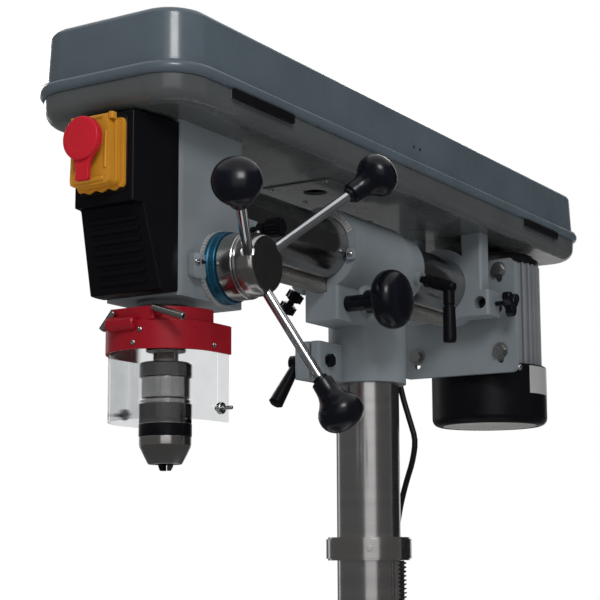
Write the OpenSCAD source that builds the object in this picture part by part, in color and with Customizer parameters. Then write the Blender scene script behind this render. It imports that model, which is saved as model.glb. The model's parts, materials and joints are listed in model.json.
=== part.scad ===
// Radial arm drill, bench model with a tilting and sliding ram.
// The origin is the column axis on the underside of the base.
// +Z is up, -Y is the front with the switch, +X is the right with the feed handles.

/* [Base] */
// Width of the base casting
base_w = 280; // [240:1:340]
// Distance from the column axis to the front edge of the base
base_front = 330; // [300:1:380]
// Distance from the column axis to the rear edge of the base
base_rear = 130; // [110:1:135]
// Height of the base slab
base_h = 22; // [18:1:26]
// Corner radius of the base
base_corner = 24; // [12:1:30]
// Radius of the four bolt holes in the base
base_hole_r = 5.5; // [4:0.5:7]
// Distance of the bolt holes from the side edges
base_hole_inset = 24; // [18:1:30]
// Width of the two clamping slots in the base
base_slot_w = 14; // [10:1:18]

/* [Column] */
// Outer radius of the column tube
column_r = 36.5; // [35:0.5:38]
// Wall of the column and ram tubes
tube_wall = 4.5; // [3:0.5:6]
// Height of the top of the column
column_top = 700; // [690:1:705]
// Radius of the flange disc
flange_r = 70; // [66:1:76]
// Height of the flange socket above the bench
flange_top = 69; // [60:1:69]
// Running clearance of a tube in its bore
tube_fit = 0.05; // [0.03:0.01:0.08]
// Lower face of the collar that holds the column rack
collar_z = 415; // [400:1:440]
// Height of the rack collar
collar_h = 26; // [18:1:32]
// Outer radius of the rack collar
collar_r = 49; // [47:0.5:52]

/* [Rack and pinion teeth] */
// Module of the column rack and the ram rack
rack_module = 1.5; // [1.5]
// Width of the racks
rack_w = 15; // [13:0.5:17]
// Teeth of the ram pinion
ram_teeth = 18; // [18]
// Teeth of the table gear
table_teeth = 12; // [12]
// Module of the quill rack
quill_module = 1.25; // [1.25]
// Teeth of the feed pinion
feed_teeth = 16; // [16]

/* [Arm bracket] */
// Height of the ram axis above the bench
ram_z = 761; // [758:1:764]
// Lower face of the arm bracket
bracket_z = 617; // [600:1:625]
// Outer radius of the bracket around the column
bracket_r = 45; // [43:0.5:48]
// Outer radius of the sleeve around the ram
sleeve_r = 47.5; // [46:0.5:50]
// Distance from the column axis to the front face of the sleeve
sleeve_front = 103; // [98:1:106]
// Distance from the column axis to the shoulder of the rear collar
shoulder_y = 27; // [20:1:32]
// Distance from the column axis to the rear face of the sleeve
sleeve_rear = 62; // [60:1:64]
// Distance from the column axis to the ram pinion
ram_pinion_y = 82; // [80:1:84]
// Radius of the ram handwheel knob
ram_knob_r = 33; // [28:1:34]
// Length of the clamp lever grip
clamp_grip_l = 50; // [40:1:54]
// Length of the ram lock lever grip
lock_grip_l = 66; // [50:1:70]

/* [Ram] */
// Free length of the ram tube in front of the column axis
ram_front = 350; // [346:1:356]
// Length of the ram tube behind the column axis
ram_rear = 225; // [220:1:232]
// Distance from the column axis to the spindle
throat = 388; // [385:1:392]

/* [Head] */
// Half width of the head casting
head_half_w = 44; // [43:0.5:48]
// Distance from the column axis to the rear face of the head
head_rear = 320; // [318:1:324]
// Distance from the column axis to the front face of the head casting
head_front = 428; // [424:1:432]
// Lower face of the head casting
head_z = 658; // [656:1:662]
// Top face of the head casting, which carries the belt tray
head_top = 825; // [820:1:830]
// Distance from the column axis to the front of the black cover
cover_front = 485; // [478:1:487]
// Half width of the flat front of the black cover
cover_half_w = 34; // [30:1:38]

/* [Quill and spindle] */
// Outer radius of the quill
quill_r = 19; // [18.8:0.1:19.4]
// Lower face of the quill
quill_z = 612; // [608:1:616]
// Top face of the quill
quill_top = 785; // [780:1:788]
// Radius of the spindle in the quill
spindle_r = 10; // [9:0.5:11]
// Radius of the driven top of the spindle
spline_r = 8; // [7:0.5:9]
// Top end of the spindle
spindle_top = 896; // [890:1:900]

/* [Chuck] */
// Outer radius of the chuck
chuck_r = 24.8; // [22:0.2:26]
// Height of the jaw tips
jaw_z = 499; // [490:1:502]
// Lower face of the chuck sleeve
nose_z = 505; // [503:1:510]
// Height at which the chuck nose reaches the full radius
cone_z = 522; // [518:1:528]
// Joint between the chuck sleeve and the chuck body
sleeve_top_z = 566; // [560:1:568]
// Top face of the chuck
chuck_top = 601; // [598:1:604]
// Radius that the jaws are set to
jaw_bore_r = 3.25; // [2.75:0.25:4]
// Lower face of the black grip band
band_z = 531; // [529:1:534]
// Height of the black grip band
band_h = 12; // [8:1:16]
// Width of a jaw
jaw_w = 4.8; // [4:0.2:5]

/* [Chuck guard] */
// Outer radius of the clear shield
shield_r = 54.5; // [50:0.5:57]
// Wall of the clear shield
shield_wall = 2.5; // [2:0.25:3]
// Lower edge of the clear shield
shield_z = 544; // [530:1:560]
// Upper edge of the clear shield
shield_top = 632; // [622:1:636]
// Lower edge of the red hood
hood_z = 608; // [600:1:616]
// Upper edge of the red hood
hood_top = 648; // [644:1:649]
// Wall of the red hood
hood_wall = 4; // [3:0.5:5]
// Distance from the spindle to the rear ends of the hood and shield
hood_back = 27; // [18:1:34]

/* [Feed] */
// Distance from the spindle to the feed shaft
feed_offset = 27.5; // [27.5]
// Height of the feed shaft
feed_z = 692; // [690:1:695]
// Radius of the chrome feed hub
feed_hub_r = 26; // [24:1:28]
// Distance from the spindle to the face of the feed hub
feed_hub_face = 104; // [100:1:108]
// Lean of the feed handles away from the head, in degrees
spoke_lean = 25.5; // [18:0.5:30]
// Length of a feed handle from the hub axis to its knob's centre
spoke_l = 162; // [140:1:165]
// Radius of a feed handle
spoke_r = 5; // [4:0.5:6]
// Radius of a handle knob
knob_r = 25; // [20:1:26]
// Angle of the first handle, up from the rear, in degrees
spoke_phase = 163; // [160:1:166]

/* [Switch] */
// Width of the switch housing
switch_w = 54; // [48:1:58]
// Lower face of the switch housing
switch_z = 748; // [742:1:754]
// Top face of the switch housing
switch_top = 819; // [814:1:821]
// Depth of the switch housing
switch_d = 12; // [8:1:16]
// Thickness of the switch flap
flap_t = 9; // [7:1:11]
// Radius of the red stop button
stop_r = 20.5; // [18:0.5:23]

/* [Belt guard] */
// Half width of the guard over its rim
guard_half_w = 96.5; // [94:0.5:98]
// Distance from the column axis to the front of the guard rim
guard_front = 496; // [490:1:500]
// Distance from the column axis to the rear of the guard rim
guard_rear = 458; // [450:1:462]
// Lower face of the lid rim
rim_z = 850; // [846:1:852]
// Height of the lid rim
rim_h = 12; // [9:1:14]
// Width of the lid rim outside the lid wall
rim_lip = 6; // [4:1:8]
// Top of the lid
lid_top = 915; // [912:1:922]
// Corner radius of the guard rim
guard_corner = 48; // [40:1:52]
// Wall of the lid and tray
sheet = 2; // [1.5:0.25:2.5]

/* [Pulleys] */
// Radius of the smallest pulley step
step_min_r = 34; // [32:1:36]
// Growth of the radius from step to step
step_rise = 8; // [6:1:9]
// Height of one pulley step
step_h = 11; // [10:0.5:12]
// Bottom of the pulleys
pulley_z = 838; // [837:1:840]

/* [Motor] */
// Distance from the column axis to the motor shaft
motor_y = 331; // [328:1:336]
// Radius over the motor's cooling fins
motor_r = 71; // [68:0.5:73]
// Depth of the cooling fins
fin_d = 4; // [3:0.5:6]
// Number of cooling fins
fin_count = 40; // [30:1:44]
// Lower face of the motor housing
motor_z = 669; // [660:1:675]
// Top face of the motor housing
motor_top = 805; // [800:1:808]
// Radius of the fan cover
fan_cover_r = 76.5; // [74:0.5:79]
// Lower face of the fan cover
fan_cover_z = 585; // [580:1:595]
// Front face of the motor plate
plate_y = 240; // [240:1:242]
// Thickness of the motor plate
plate_t = 8; // [6:0.5:9]
// Half width of the motor plate
plate_half_w = 81.5; // [78:0.5:84]
// Lower edge of the motor plate
plate_z = 652; // [648:1:658]
// Upper edge of the motor plate
plate_top = 798; // [790:1:802]
// Radius of the slide rods of the motor plate
rod_r = 8; // [7:0.5:8.5]
// Distance of the slide rods from the middle
rod_x = 56; // [54:1:58]
// Height of the slide rods
rod_z = 736; // [734:1:738]

/* [Table] */
// Side of the square table
table_side = 170; // [150:1:180]
// Thickness of the table plate
table_t = 12; // [10:1:14]
// Height of the table top
table_top = 250; // [248:1:256]
// Distance from the column axis to the table centre
table_y = 185; // [180:1:195]
// Radius of the hole in the middle of the table
table_hole_r = 15; // [10:1:20]
// Outer radius of the table bracket
table_sleeve_r = 48; // [46:0.5:50]
// Lower face of the table bracket
table_sleeve_z = 150; // [150:1:152]
// Height of the table bracket
table_sleeve_h = 70; // [66:1:74]
// Radius of the table crank
crank_l = 50; // [40:1:50]

/* [Cord] */
// Diameter of the mains cord
cord_d = 7; // [7]
// Turns of the stored coil
coil_turns = 4.25; // [4.25]
// Radius of the outer turn of the coil
coil_r = 46; // [46]

/* [Hidden] */
$fn = 48;

// Gaps shared by many pieces
seat_gap = 0.3;
screw_fit = 0.05;
eps = 0.01;

// Colours
paint_grey = [0.66, 0.69, 0.71];
guard_grey = [0.36, 0.40, 0.41];
tray_grey = [0.56, 0.60, 0.61];
steel = [0.72, 0.73, 0.75];
bright = [0.86, 0.87, 0.89];
black = [0.06, 0.06, 0.07];
red = [0.72, 0.06, 0.10];
yellow = [0.93, 0.72, 0.22];

// Teeth: the share of the module that a tooth stands above and below its pitch line
gear_tip = 0.8;
gear_foot = 1.0;
rack_tip = 0.7;
rack_foot = 1.05;
pressure = 20;
tooth_slack = 0.12;
ram_pitch_r = rack_module * ram_teeth / 2;
table_pitch_r = rack_module * table_teeth / 2;
feed_pitch_r = quill_module * feed_teeth / 2;

// The ram rack lies under the tube and its teeth point down
rack_seat_r = column_r + seat_gap;
ram_rack_h = 13;
ram_rack_pitch_z = ram_z - rack_seat_r - ram_rack_h + rack_tip * rack_module + 0.35;
ram_pinion_z = ram_rack_pitch_z - ram_pitch_r;
groove_gap = 0.4;

// The column rack stands on the right of the column and its teeth point right
column_rack_t = 7.2;
column_rack_pitch_x = rack_seat_r + column_rack_t - rack_tip * rack_module;
table_gear_x = column_rack_pitch_x + table_pitch_r;
table_gear_z = table_sleeve_z + 38;
worm_r = 8;
table_gear_tip_r = table_pitch_r + gear_tip * rack_module;
worm_z = table_gear_z - table_gear_tip_r - seat_gap - worm_r;
gearbox_x = 76;
crank_x = 96;
crank_t = 8;

// Head and feed
spindle_y = -throat;
feed_y = spindle_y + feed_offset;
feed_shaft_r = 8;
feed_cavity_r = feed_pitch_r + gear_tip * quill_module + 0.5;
quill_rack_pitch = feed_offset - feed_pitch_r;
spring_cap_t = 20;
depth_ring_x = head_half_w + 5;
depth_ring_t = 11;
hub_collar_x = depth_ring_x + depth_ring_t + seat_gap;
spoke_root_x = feed_hub_face - 14;
head_clamp_y = -312;
head_clamp_z = 738;
head_clamp_tip_x = sqrt(pow(column_r, 2) - pow(ram_z - head_clamp_z - 4, 2)) + 0.5;

// Chuck guard: the hood swings on a pin across the front of the collar
guard_pivot_y = spindle_y - 48;
guard_pivot_z = 641;
guard_pin_r = 3;
shield_screw_y = spindle_y + 10;
shield_screw_z = hood_z + 4;
shield_travel = 15;

// Belt guard
tray_floor_t = 3;
hinge_seat_x = guard_half_w - 4.5;
hinge_l = 104;
hinge_ys = [-412, 250];

// Pulleys
step_count = 5;
belt_step = 2;
groove_depth = 6;
belt_w = 9;
belt_h = 6;
belt_gap = 0.35;
pulley_h = step_count * step_h;
belt_z = pulley_z + (belt_step + 0.5) * step_h;
belt_r = step_min_r + belt_step * step_rise;
pulley_hub_r = 14;

// Table
table_half = table_side / 2;
tilt_z = table_top - table_t - 33;
tilt_boss_r = 28;
tilt_joint_y = -78;
table_lock_x = -62;
table_lock_z = table_sleeve_z + 35;

// Cord route, from the gland down behind the column to the coil on the bench
cord_route = [
  [10, 54, 660], [10, 54, 645], [13, 54.5, 625], [18, 55, 603], [25, 56, 579],
  [31, 57, 555], [27, 58, 531], [18, 60, 508], [9, 63, 484], [-1, 70, 455],
  [-10, 79, 420], [-17, 89, 375], [-21, 99, 325], [-22, 108, 270], [-20, 117, 215],
  [-16, 127, 160], [-11, 138, 110], [-6, 149, 68], [-2, 160, 34], [2, 173, 12],
  [5, 188, 4.2], [6, 200, 3.5], [6, 208, 3.5]
];
cord_r = cord_d / 2;
cord_sides = 8;
cord_steps = 3;
coil_x = -40;
coil_y = 216;
coil_pitch = 7.7;
coil_lift = 7.6;
coil_sides = 6;
coil_rings = 24;
plug_l = 38;
plug_z = cord_r + coil_lift;

// Shared shapes

module bar_x(x0, x1, y, z, r) {
  translate([x0, y, z]) rotate([0, 90, 0]) cylinder(h = x1 - x0, r = r);
}

module bar_y(y0, y1, x, z, r) {
  translate([x, y0, z]) rotate([-90, 0, 0]) cylinder(h = y1 - y0, r = r);
}

module bar_z(z0, z1, x, y, r) {
  translate([x, y, z0]) cylinder(h = z1 - z0, r = r);
}

module block(x0, x1, y0, y1, z0, z1) {
  translate([x0, y0, z0]) cube([x1 - x0, y1 - y0, z1 - z0]);
}

// Rectangle with round corners, drawn from four circles and two bars
module round_rect(w, d, r) {
  union() {
    square([w - 2 * r, d], center = true);
    square([w, d - 2 * r], center = true);
    for (sx = [-1, 1], sy = [-1, 1]) {
      translate([sx * (w / 2 - r), sy * (d / 2 - r)]) circle(r = r);
    }
  }
}

// Box with round upright edges
module round_block(x0, x1, y0, y1, z0, z1, r) {
  translate([(x0 + x1) / 2, (y0 + y1) / 2, z0])
    linear_extrude(height = z1 - z0) round_rect(x1 - x0, y1 - y0, r);
}

// Hexagon of a given width across flats, standing along Z
module hexagon(across, h) {
  cylinder(h = h, r = across / sqrt(3), $fn = 6);
}

// Involute tooth, as half angles in degrees at points from the foot to the tip
function roll(a) = tan(a) * 180 / PI - a;
function base_circle(m, n) = m * n / 2 * cos(pressure);
function flank_r(m, n, i) =
  let (low = max(base_circle(m, n), m * n / 2 - gear_foot * m), high = m * n / 2 + gear_tip * m)
  low + (high - low) * i / 4;
function half_tooth(m, n, r) =
  90 / n + roll(pressure) - roll(acos(min(1, base_circle(m, n) / r)))
  - tooth_slack / m / n * 360 / PI / 2;
function gear_outline(m, n) = [
  for (t = [0 : n - 1]) let (mid = 360 * t / n, foot_r = m * n / 2 - gear_foot * m)
    each concat(
      [let (a = mid - half_tooth(m, n, flank_r(m, n, 0))) [foot_r * cos(a), foot_r * sin(a)]],
      [for (i = [0 : 4]) let (r = flank_r(m, n, i), a = mid - half_tooth(m, n, r)) [r * cos(a), r * sin(a)]],
      [for (i = [4 : -1 : 0]) let (r = flank_r(m, n, i), a = mid + half_tooth(m, n, r)) [r * cos(a), r * sin(a)]],
      [let (a = mid + half_tooth(m, n, flank_r(m, n, 0))) [foot_r * cos(a), foot_r * sin(a)]]
    )
];

// Gap between two rack teeth, open at the top, centred on x = 0 with the pitch line on y = 0
module rack_gap(m) {
  half = PI * m / 4 + tooth_slack / 2;
  foot = half - rack_foot * m * tan(pressure);
  mouth_h = rack_tip * m + 0.5;
  mouth = half + mouth_h * tan(pressure);
  polygon([[-foot, -rack_foot * m], [foot, -rack_foot * m], [mouth, mouth_h], [-mouth, mouth_h]]);
}

// Outline of a rack from x = from to x = to, with a gap centred on x = 0
module rack_outline(m, from, to, body) {
  pitch = PI * m;
  difference() {
    translate([from, -body]) square([to - from, body + rack_tip * m]);
    for (i = [ceil(from / pitch) : floor(to / pitch)]) {
      translate([i * pitch, 0]) rack_gap(m);
    }
  }
}

// Swept tube: rings of points round a route
function along(p, i) =
  let (a = p[max(0, i - 1)], b = p[min(len(p) - 1, i + 1)], v = b - a) v / norm(v);
function sideways(t) = let (s = cross(t, abs(t[2]) > 0.9 ? [0, 1, 0] : [0, 0, 1])) s / norm(s);
function tube_ring(c, t, u, r, n) =
  let (w = cross(t, u)) [for (k = [0 : n - 1]) c + r * (cos(360 * k / n) * u + sin(360 * k / n) * w)];
function carried(p, i, u) =
  let (t = along(p, i), s = u - (u * t) * t) s / norm(s);
function frames(p, i = 0, u = undef) =
  i >= len(p) ? [] :
  let (v = is_undef(u) ? sideways(along(p, 0)) : carried(p, i, u)) concat([v], frames(p, i + 1, v));
module swept_tube(p, r, n) {
  us = frames(p);
  m = len(p);
  pts = [for (i = [0 : m - 1]) each tube_ring(p[i], along(p, i), us[i], r, n)];
  sides = [
    for (i = [0 : m - 2], k = [0 : n - 1]) let (a = i * n + k, b = i * n + (k + 1) % n)
      each [[a, a + n, b + n], [a, b + n, b]]
  ];
  ends = concat(
    [for (k = [1 : n - 2]) [0, k, k + 1]],
    [for (k = [1 : n - 2]) [(m - 1) * n, (m - 1) * n + k + 1, (m - 1) * n + k]]
  );
  polyhedron(points = pts, faces = concat(sides, ends));
}

// Smooth curve through route points
function blend4(a, b, c, d, t) =
  0.5 * (2 * b + (c - a) * t + (2 * a - 5 * b + 4 * c - d) * t * t + (3 * b - 3 * c + d - a) * t * t * t);
function smooth_route(p, n) = concat(
  [for (i = [0 : len(p) - 2], k = [0 : n - 1])
    blend4(p[max(0, i - 1)], p[i], p[i + 1], p[min(len(p) - 1, i + 2)], k / n)],
  [p[len(p) - 1]]
);
cord_path = smooth_route(cord_route, cord_steps);

// Coil centreline: it winds in on the bench, climbs, and winds out on top
half_turns = coil_turns * 180;
function coil_radius(a) = coil_r - coil_pitch * (half_turns - abs(a - half_turns)) / 360;
function climb(x) = x < 0 ? 0 : x > 1 ? 1 : x * x * (3 - 2 * x);
function coil_height(a) = cord_r + coil_lift * climb((a - half_turns + 90) / 180);
coil_loop = [
  for (i = [0 : coil_turns * coil_rings]) let (a = 360 * i / coil_rings)
    [coil_x + coil_radius(a) * cos(a), coil_y + coil_radius(a) * sin(a), coil_height(a)]
];
coil_end = coil_loop[len(coil_loop) - 1];
coil_path = concat(
  [[coil_x + coil_r, coil_y - cord_d - 1, cord_r], [coil_x + coil_r, coil_y - 4, cord_r]],
  coil_loop,
  [[coil_end[0] - 12, coil_end[1], coil_end[2]], [coil_end[0] - 30, coil_end[1], coil_end[2]]]
);
coil_apart = min([
  for (i = [2 : len(coil_path) - 3], j = [i + 12 : 1 : len(coil_path) - 3])
    norm(coil_path[i] - coil_path[j])
]);
echo(coil_least_gap_mm = coil_apart - cord_d);
function route_length(p) = sum_up([for (i = [1 : len(p) - 1]) norm(p[i] - p[i - 1])]);
function sum_up(v, i = 0) = i >= len(v) ? 0 : v[i] + sum_up(v, i + 1);
echo(cord_length_mm = route_length(cord_path) + route_length(coil_path));

// Base and column

module base_casting() {
  bolt_x = base_w / 2 - base_hole_inset;
  color(paint_grey) difference() {
    union() {
      round_block(-base_w / 2, base_w / 2, -base_front, base_rear, 0, base_h - 4, base_corner);
      round_block(-base_w / 2 + 4, base_w / 2 - 4, -base_front + 4, base_rear - 4,
                  base_h - 4 - eps, base_h, base_corner - 4);
    }
    for (x = [-bolt_x, bolt_x], y = [-base_front + base_hole_inset + 6, base_rear - base_hole_inset - 6]) {
      bar_z(-1, base_h + 1, x, y, base_hole_r);
    }
    for (x = [-55, 55]) {
      round_block(x - base_slot_w / 2, x + base_slot_w / 2, -base_front + 40, -140,
                  -1, base_h + 1, base_slot_w / 2 - eps);
    }
    for (a = [45 : 90 : 315]) {
      rotate(a) bar_z(base_h - 14, base_h + 1, flange_r - 12, 0, 4);
    }
  }
}

module column_flange() {
  disc_top = base_h + 12;
  neck_r = column_r + 12;
  color(paint_grey) difference() {
    rotate_extrude() polygon([
      [0, base_h], [flange_r, base_h], [flange_r, disc_top - 2], [flange_r - 2, disc_top],
      [flange_r - 4, disc_top], [neck_r, disc_top + 10], [neck_r, flange_top - 2],
      [neck_r - 2, flange_top], [0, flange_top]
    ]);
    bar_z(base_h - 1, flange_top + 1, 0, 0, column_r + tube_fit);
    for (a = [45 : 90 : 315]) {
      rotate(a) bar_z(base_h - 1, disc_top + 1, flange_r - 12, 0, 4.3);
      rotate(a) bar_z(disc_top, flange_top + 1, flange_r - 12, 0, 8);
    }
  }
}

// Four flange bolts and the set screw of the rack collar
module base_screws() {
  color(steel) {
    for (a = [45 : 90 : 315]) rotate(a) translate([flange_r - 12, 0, 0]) {
      bar_z(base_h - 13, base_h + 12 + eps, 0, 0, 3.9);
      translate([0, 0, base_h + 12]) hexagon(12, 5.5);
    }
    rotate(-60) bar_x(column_r + tube_fit, collar_r + 1, 0, collar_z + collar_h / 2, 3);
  }
}

module column_tube() {
  color(steel) difference() {
    bar_z(base_h, column_top, 0, 0, column_r);
    bar_z(base_h - 1, column_top + 1, 0, 0, column_r - tube_wall);
  }
}

module rack_collar() {
  color(paint_grey) difference() {
    union() {
      bar_z(collar_z + 2, collar_z + collar_h - 2, 0, 0, collar_r);
      bar_z(collar_z, collar_z + collar_h, 0, 0, collar_r - 2);
    }
    bar_z(collar_z - 1, collar_z + collar_h + 1, 0, 0, column_r + tube_fit);
    rotate(-60) bar_x(column_r - 2, collar_r + 2, 0, collar_z + collar_h / 2, 3 + screw_fit);
  }
}

// Mains cord, its stored coil and its plug

module mains_cord() {
  color(black) swept_tube(cord_path, cord_r, cord_sides);
}

module cord_coil() {
  color(black) swept_tube(coil_path, cord_r, coil_sides);
}

module mains_plug() {
  tip = coil_path[len(coil_path) - 1];
  color(black) translate([tip[0], tip[1], 0]) {
    bar_x(-14, 0, 0, plug_z, cord_r + 1.8);
    translate([-14 - plug_l / 2, 0, 0])
      linear_extrude(height = 2 * plug_z) round_rect(plug_l, 27, 5);
    for (y = [-6.35, 6.35]) {
      block(-14 - plug_l - 16, -14 - plug_l, y - 0.8, y + 0.8, plug_z - 3.2, plug_z + 3.2);
    }
  }
}

// Table and its lift

module table_rack() {
  from = flange_top + seat_gap - table_gear_z;
  to = collar_z - seat_gap - table_gear_z;
  color(steel) difference() {
    translate([column_rack_pitch_x, rack_w / 2, table_gear_z]) rotate([90, -90, 0])
      linear_extrude(height = rack_w) mirror([0, 1, 0])
        rack_outline(rack_module, from, to, column_rack_t + 3);
    bar_z(flange_top, collar_z, 0, 0, rack_seat_r);
  }
}

module table_bracket() {
  top = table_sleeve_z + table_sleeve_h;
  color(paint_grey) difference() {
    union() {
      bar_z(table_sleeve_z, top, 0, 0, table_sleeve_r);
      round_block(30, gearbox_x, -26, 26, table_sleeve_z, table_gear_z + 16, 6);
      round_block(table_lock_x - 12, -column_r - 2, -15, 15, table_sleeve_z + 8, top - 8, 4);
      bar_y(tilt_joint_y, -column_r - 2, 0, tilt_z, tilt_boss_r);
      round_block(-14, 14, tilt_joint_y + 6, -column_r - 2, table_sleeve_z + 4, top - 2, 3);
    }
    bar_z(table_sleeve_z - 1, top + 1, 0, 0, column_r + tube_fit);
    block(0, column_rack_pitch_x + rack_tip * rack_module + groove_gap,
          -rack_w / 2 - groove_gap, rack_w / 2 + groove_gap, table_sleeve_z - 1, top + 1);
    bar_y(-8, 8, table_gear_x, table_gear_z, table_gear_tip_r + 0.6);
    bar_y(-22, 27, table_gear_x, table_gear_z, 4 + tube_fit);
    bar_x(table_gear_x - 6, gearbox_x - 12, 0, worm_z, worm_r + 0.5);
    bar_x(gearbox_x - 13, gearbox_x + 1, 0, worm_z, 5 + tube_fit);
    block(table_lock_x - 13, -column_r + 1, -1.5, 1.5, table_sleeve_z - 1, top + 1);
    bar_y(-16, 16, table_lock_x, table_lock_z, 4 + tube_fit);
    bar_y(tilt_joint_y - 1, -column_r - 8, 0, tilt_z, 8 + tube_fit);
  }
}

module table_gear() {
  color(steel) translate([table_gear_x, 7, table_gear_z]) rotate([90, 0, 0])
    rotate(180) union() {
      linear_extrude(height = 14) polygon(gear_outline(rack_module, table_teeth));
      translate([0, 0, -19]) cylinder(h = 47, r = 4);
    }
}

// Crank with its worm, shaft and arm
module table_crank() {
  color(steel) union() {
    bar_x(table_gear_x - 5, gearbox_x - 12.5, 0, worm_z, worm_r);
    bar_x(gearbox_x - 13, crank_x + crank_t, 0, worm_z, 5);
    translate([crank_x, 0, worm_z]) rotate([0, 90, 0]) union() {
      cylinder(h = crank_t, r = 10);
      cylinder(h = crank_t + 2, r = 7);
      translate([0, -7, 0]) cube([crank_l, 14, crank_t]);
      translate([crank_l, 0, 0]) cylinder(h = crank_t, r = 7);
      translate([crank_l, 0, 0]) cylinder(h = crank_t + 42, r = 3);
      translate([crank_l, 0, crank_t + 41]) cylinder(h = 3, r = 4.5);
    }
  }
}

module crank_grip() {
  x0 = crank_x + crank_t + seat_gap;
  color(black) difference() {
    translate([x0, 0, worm_z - crank_l]) rotate([0, 90, 0]) rotate_extrude()
      polygon([[0, 0], [6, 0], [7.5, 8], [9, 26], [8, 36], [5.5, 40.5], [0, 40.5]]);
    bar_x(x0 - 1, x0 + 42, 0, worm_z - crank_l, 3 + tube_fit);
  }
}

module table_lock_lever() {
  color(steel) union() {
    bar_y(-24, 20, table_lock_x, table_lock_z, 4);
    bar_y(-27, -15.3, table_lock_x, table_lock_z, 8);
    translate([table_lock_x, 15.3, table_lock_z]) rotate([-90, 0, 0]) hexagon(13, 6);
    translate([table_lock_x, -22, table_lock_z]) rotate([180, 0, 0]) union() {
      cylinder(h = 48, r = 3.5);
      translate([0, 0, 44]) cylinder(h = 16, r = 6.5);
    }
  }
}

module table_plate() {
  low = table_top - table_t;
  rear = -table_y + table_half;
  color(paint_grey) difference() {
    union() {
      round_block(-table_half, table_half, -table_y - table_half, rear, low, table_top, 8);
      bar_y(rear - 4, tilt_joint_y - seat_gap, 0, tilt_z, tilt_boss_r);
      block(-tilt_boss_r, tilt_boss_r, rear - 4, tilt_joint_y - seat_gap, tilt_z, low);
      block(-tilt_boss_r, tilt_boss_r, rear - 4, tilt_joint_y - seat_gap, tilt_z + 20, low + 1);
      translate([-6, 0, 0]) rotate([90, 0, 90]) linear_extrude(height = 12)
        polygon([[rear, tilt_z - 20], [rear, low + 1], [-table_y + table_hole_r + 3, low + 1]]);
      bar_y(tilt_joint_y - 2, -column_r - 10, 0, tilt_z, 8);
      bar_y(rear - 14, rear - 3, 0, tilt_z, 12);
    }
    bar_z(low - 1, table_top + 1, 0, -table_y, table_hole_r);
    for (sx = [-1, 1], sy = [-1, 1]) {
      round_block(sx * 52 - 23, sx * 52 + 23, -table_y + sy * 45 - 5, -table_y + sy * 45 + 5,
                  low - 1, table_top + 1, 5 - eps);
    }
  }
}

// Arm bracket and what is fastened in it

// A round bar that points outwards from the ram axis at an angle up from +X
module ram_radial(y, angle, r0, r1, r) {
  translate([0, y, ram_z]) rotate([0, -angle, 0]) bar_x(r0, r1, 0, 0, r);
}

star_y = -94;
star_angle = 231;
lock_y = 49;
lock_angle = -19;
clamp_y = -75;
clamp_z = 638;
gland_x = cord_route[0][0];
gland_y = cord_route[0][1];
gland_z = 686;

module arm_bracket() {
  floor_z = column_top;
  pinion_low = ram_pinion_z - ram_pitch_r - gear_tip * rack_module - 0.8;
  color(paint_grey) difference() {
    union() {
      bar_z(bracket_z, ram_z - 30, 0, 0, bracket_r);
      bar_y(-sleeve_front, shoulder_y, 0, ram_z, sleeve_r);
      bar_y(shoulder_y - eps, sleeve_rear, 0, ram_z, sleeve_r - 2.5);
      round_block(-22, 22, -sleeve_front, 0, pinion_low - 4, ram_z - 20, 4);
      round_block(-30, 30, -60, sleeve_rear - 20, ram_z - 66, ram_z - 20, 8);
      round_block(-42, -8, -94, -20, bracket_z, bracket_z + 42, 5);
      ram_radial(star_y, star_angle, 40, 56, 9);
      ram_radial(lock_y, lock_angle, 40, 50, 9);
      bar_z(ram_z + 40, ram_z + sleeve_r + 4, 0, 5, 6);
      bar_z(gland_z + 16, ram_z - 40, gland_x, gland_y, 11);
    }
    bar_z(bracket_z - 1, floor_z, 0, 0, column_r + tube_fit);
    bar_y(-sleeve_front - 1, sleeve_rear + 1, 0, ram_z, column_r + tube_fit);
    block(-rack_w / 2 - groove_gap, rack_w / 2 + groove_gap, -sleeve_front - 1, sleeve_rear + 4,
          ram_rack_pitch_z - rack_tip * rack_module - groove_gap, ram_z);
    bar_x(-9, 10, -ram_pinion_y, ram_pinion_z, ram_pitch_r + gear_tip * rack_module + 0.6);
    bar_x(-23, 30, -ram_pinion_y, ram_pinion_z, 7 + tube_fit);
    block(-21.5, -18.5, -95, -column_r + 4, bracket_z - 1, bracket_z + 43);
    bar_x(-43, -7, clamp_y, clamp_z, 4 + tube_fit);
    ram_radial(star_y, star_angle, 30, 57, 4 + tube_fit);
    ram_radial(lock_y, lock_angle, 30, 51, 4 + tube_fit);
    bar_z(gland_z + 10, gland_z + 22.4, gland_x, gland_y, 6);
  }
}

module arm_clamp_lever() {
  color(black) union() {
    bar_x(-46, -6, clamp_y, clamp_z, 4);
    bar_x(-56, -42.3, clamp_y, clamp_z, 9);
    translate([-7.7, clamp_y, clamp_z]) rotate([0, 90, 0]) hexagon(13, 6);
    translate([-49, clamp_y, clamp_z]) rotate([150, 0, 0]) rotate([0, -12, 0]) union() {
      cylinder(h = 16, r = 6);
      translate([0, 0, 12]) cylinder(h = clamp_grip_l - 6, r1 = 6, r2 = 8.5);
      translate([0, 0, clamp_grip_l + 5]) cylinder(h = 3, r1 = 8.5, r2 = 6);
    }
  }
}

// Screw that locks the ram in its sleeve, with a lobed knob and a jam knob
module star_screw() {
  color(black) translate([0, star_y, ram_z]) rotate([0, -star_angle, 0]) union() {
    bar_x(column_r + 1, 88, 0, 0, 4);
    for (x = [59, 75]) for (a = [0 : 60 : 300]) rotate([a, 0, 0]) bar_x(x, x + 9, 6.5, 0, 3.5);
    for (x = [58, 74]) bar_x(x, x + 11, 0, 0, 7);
  }
}

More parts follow.
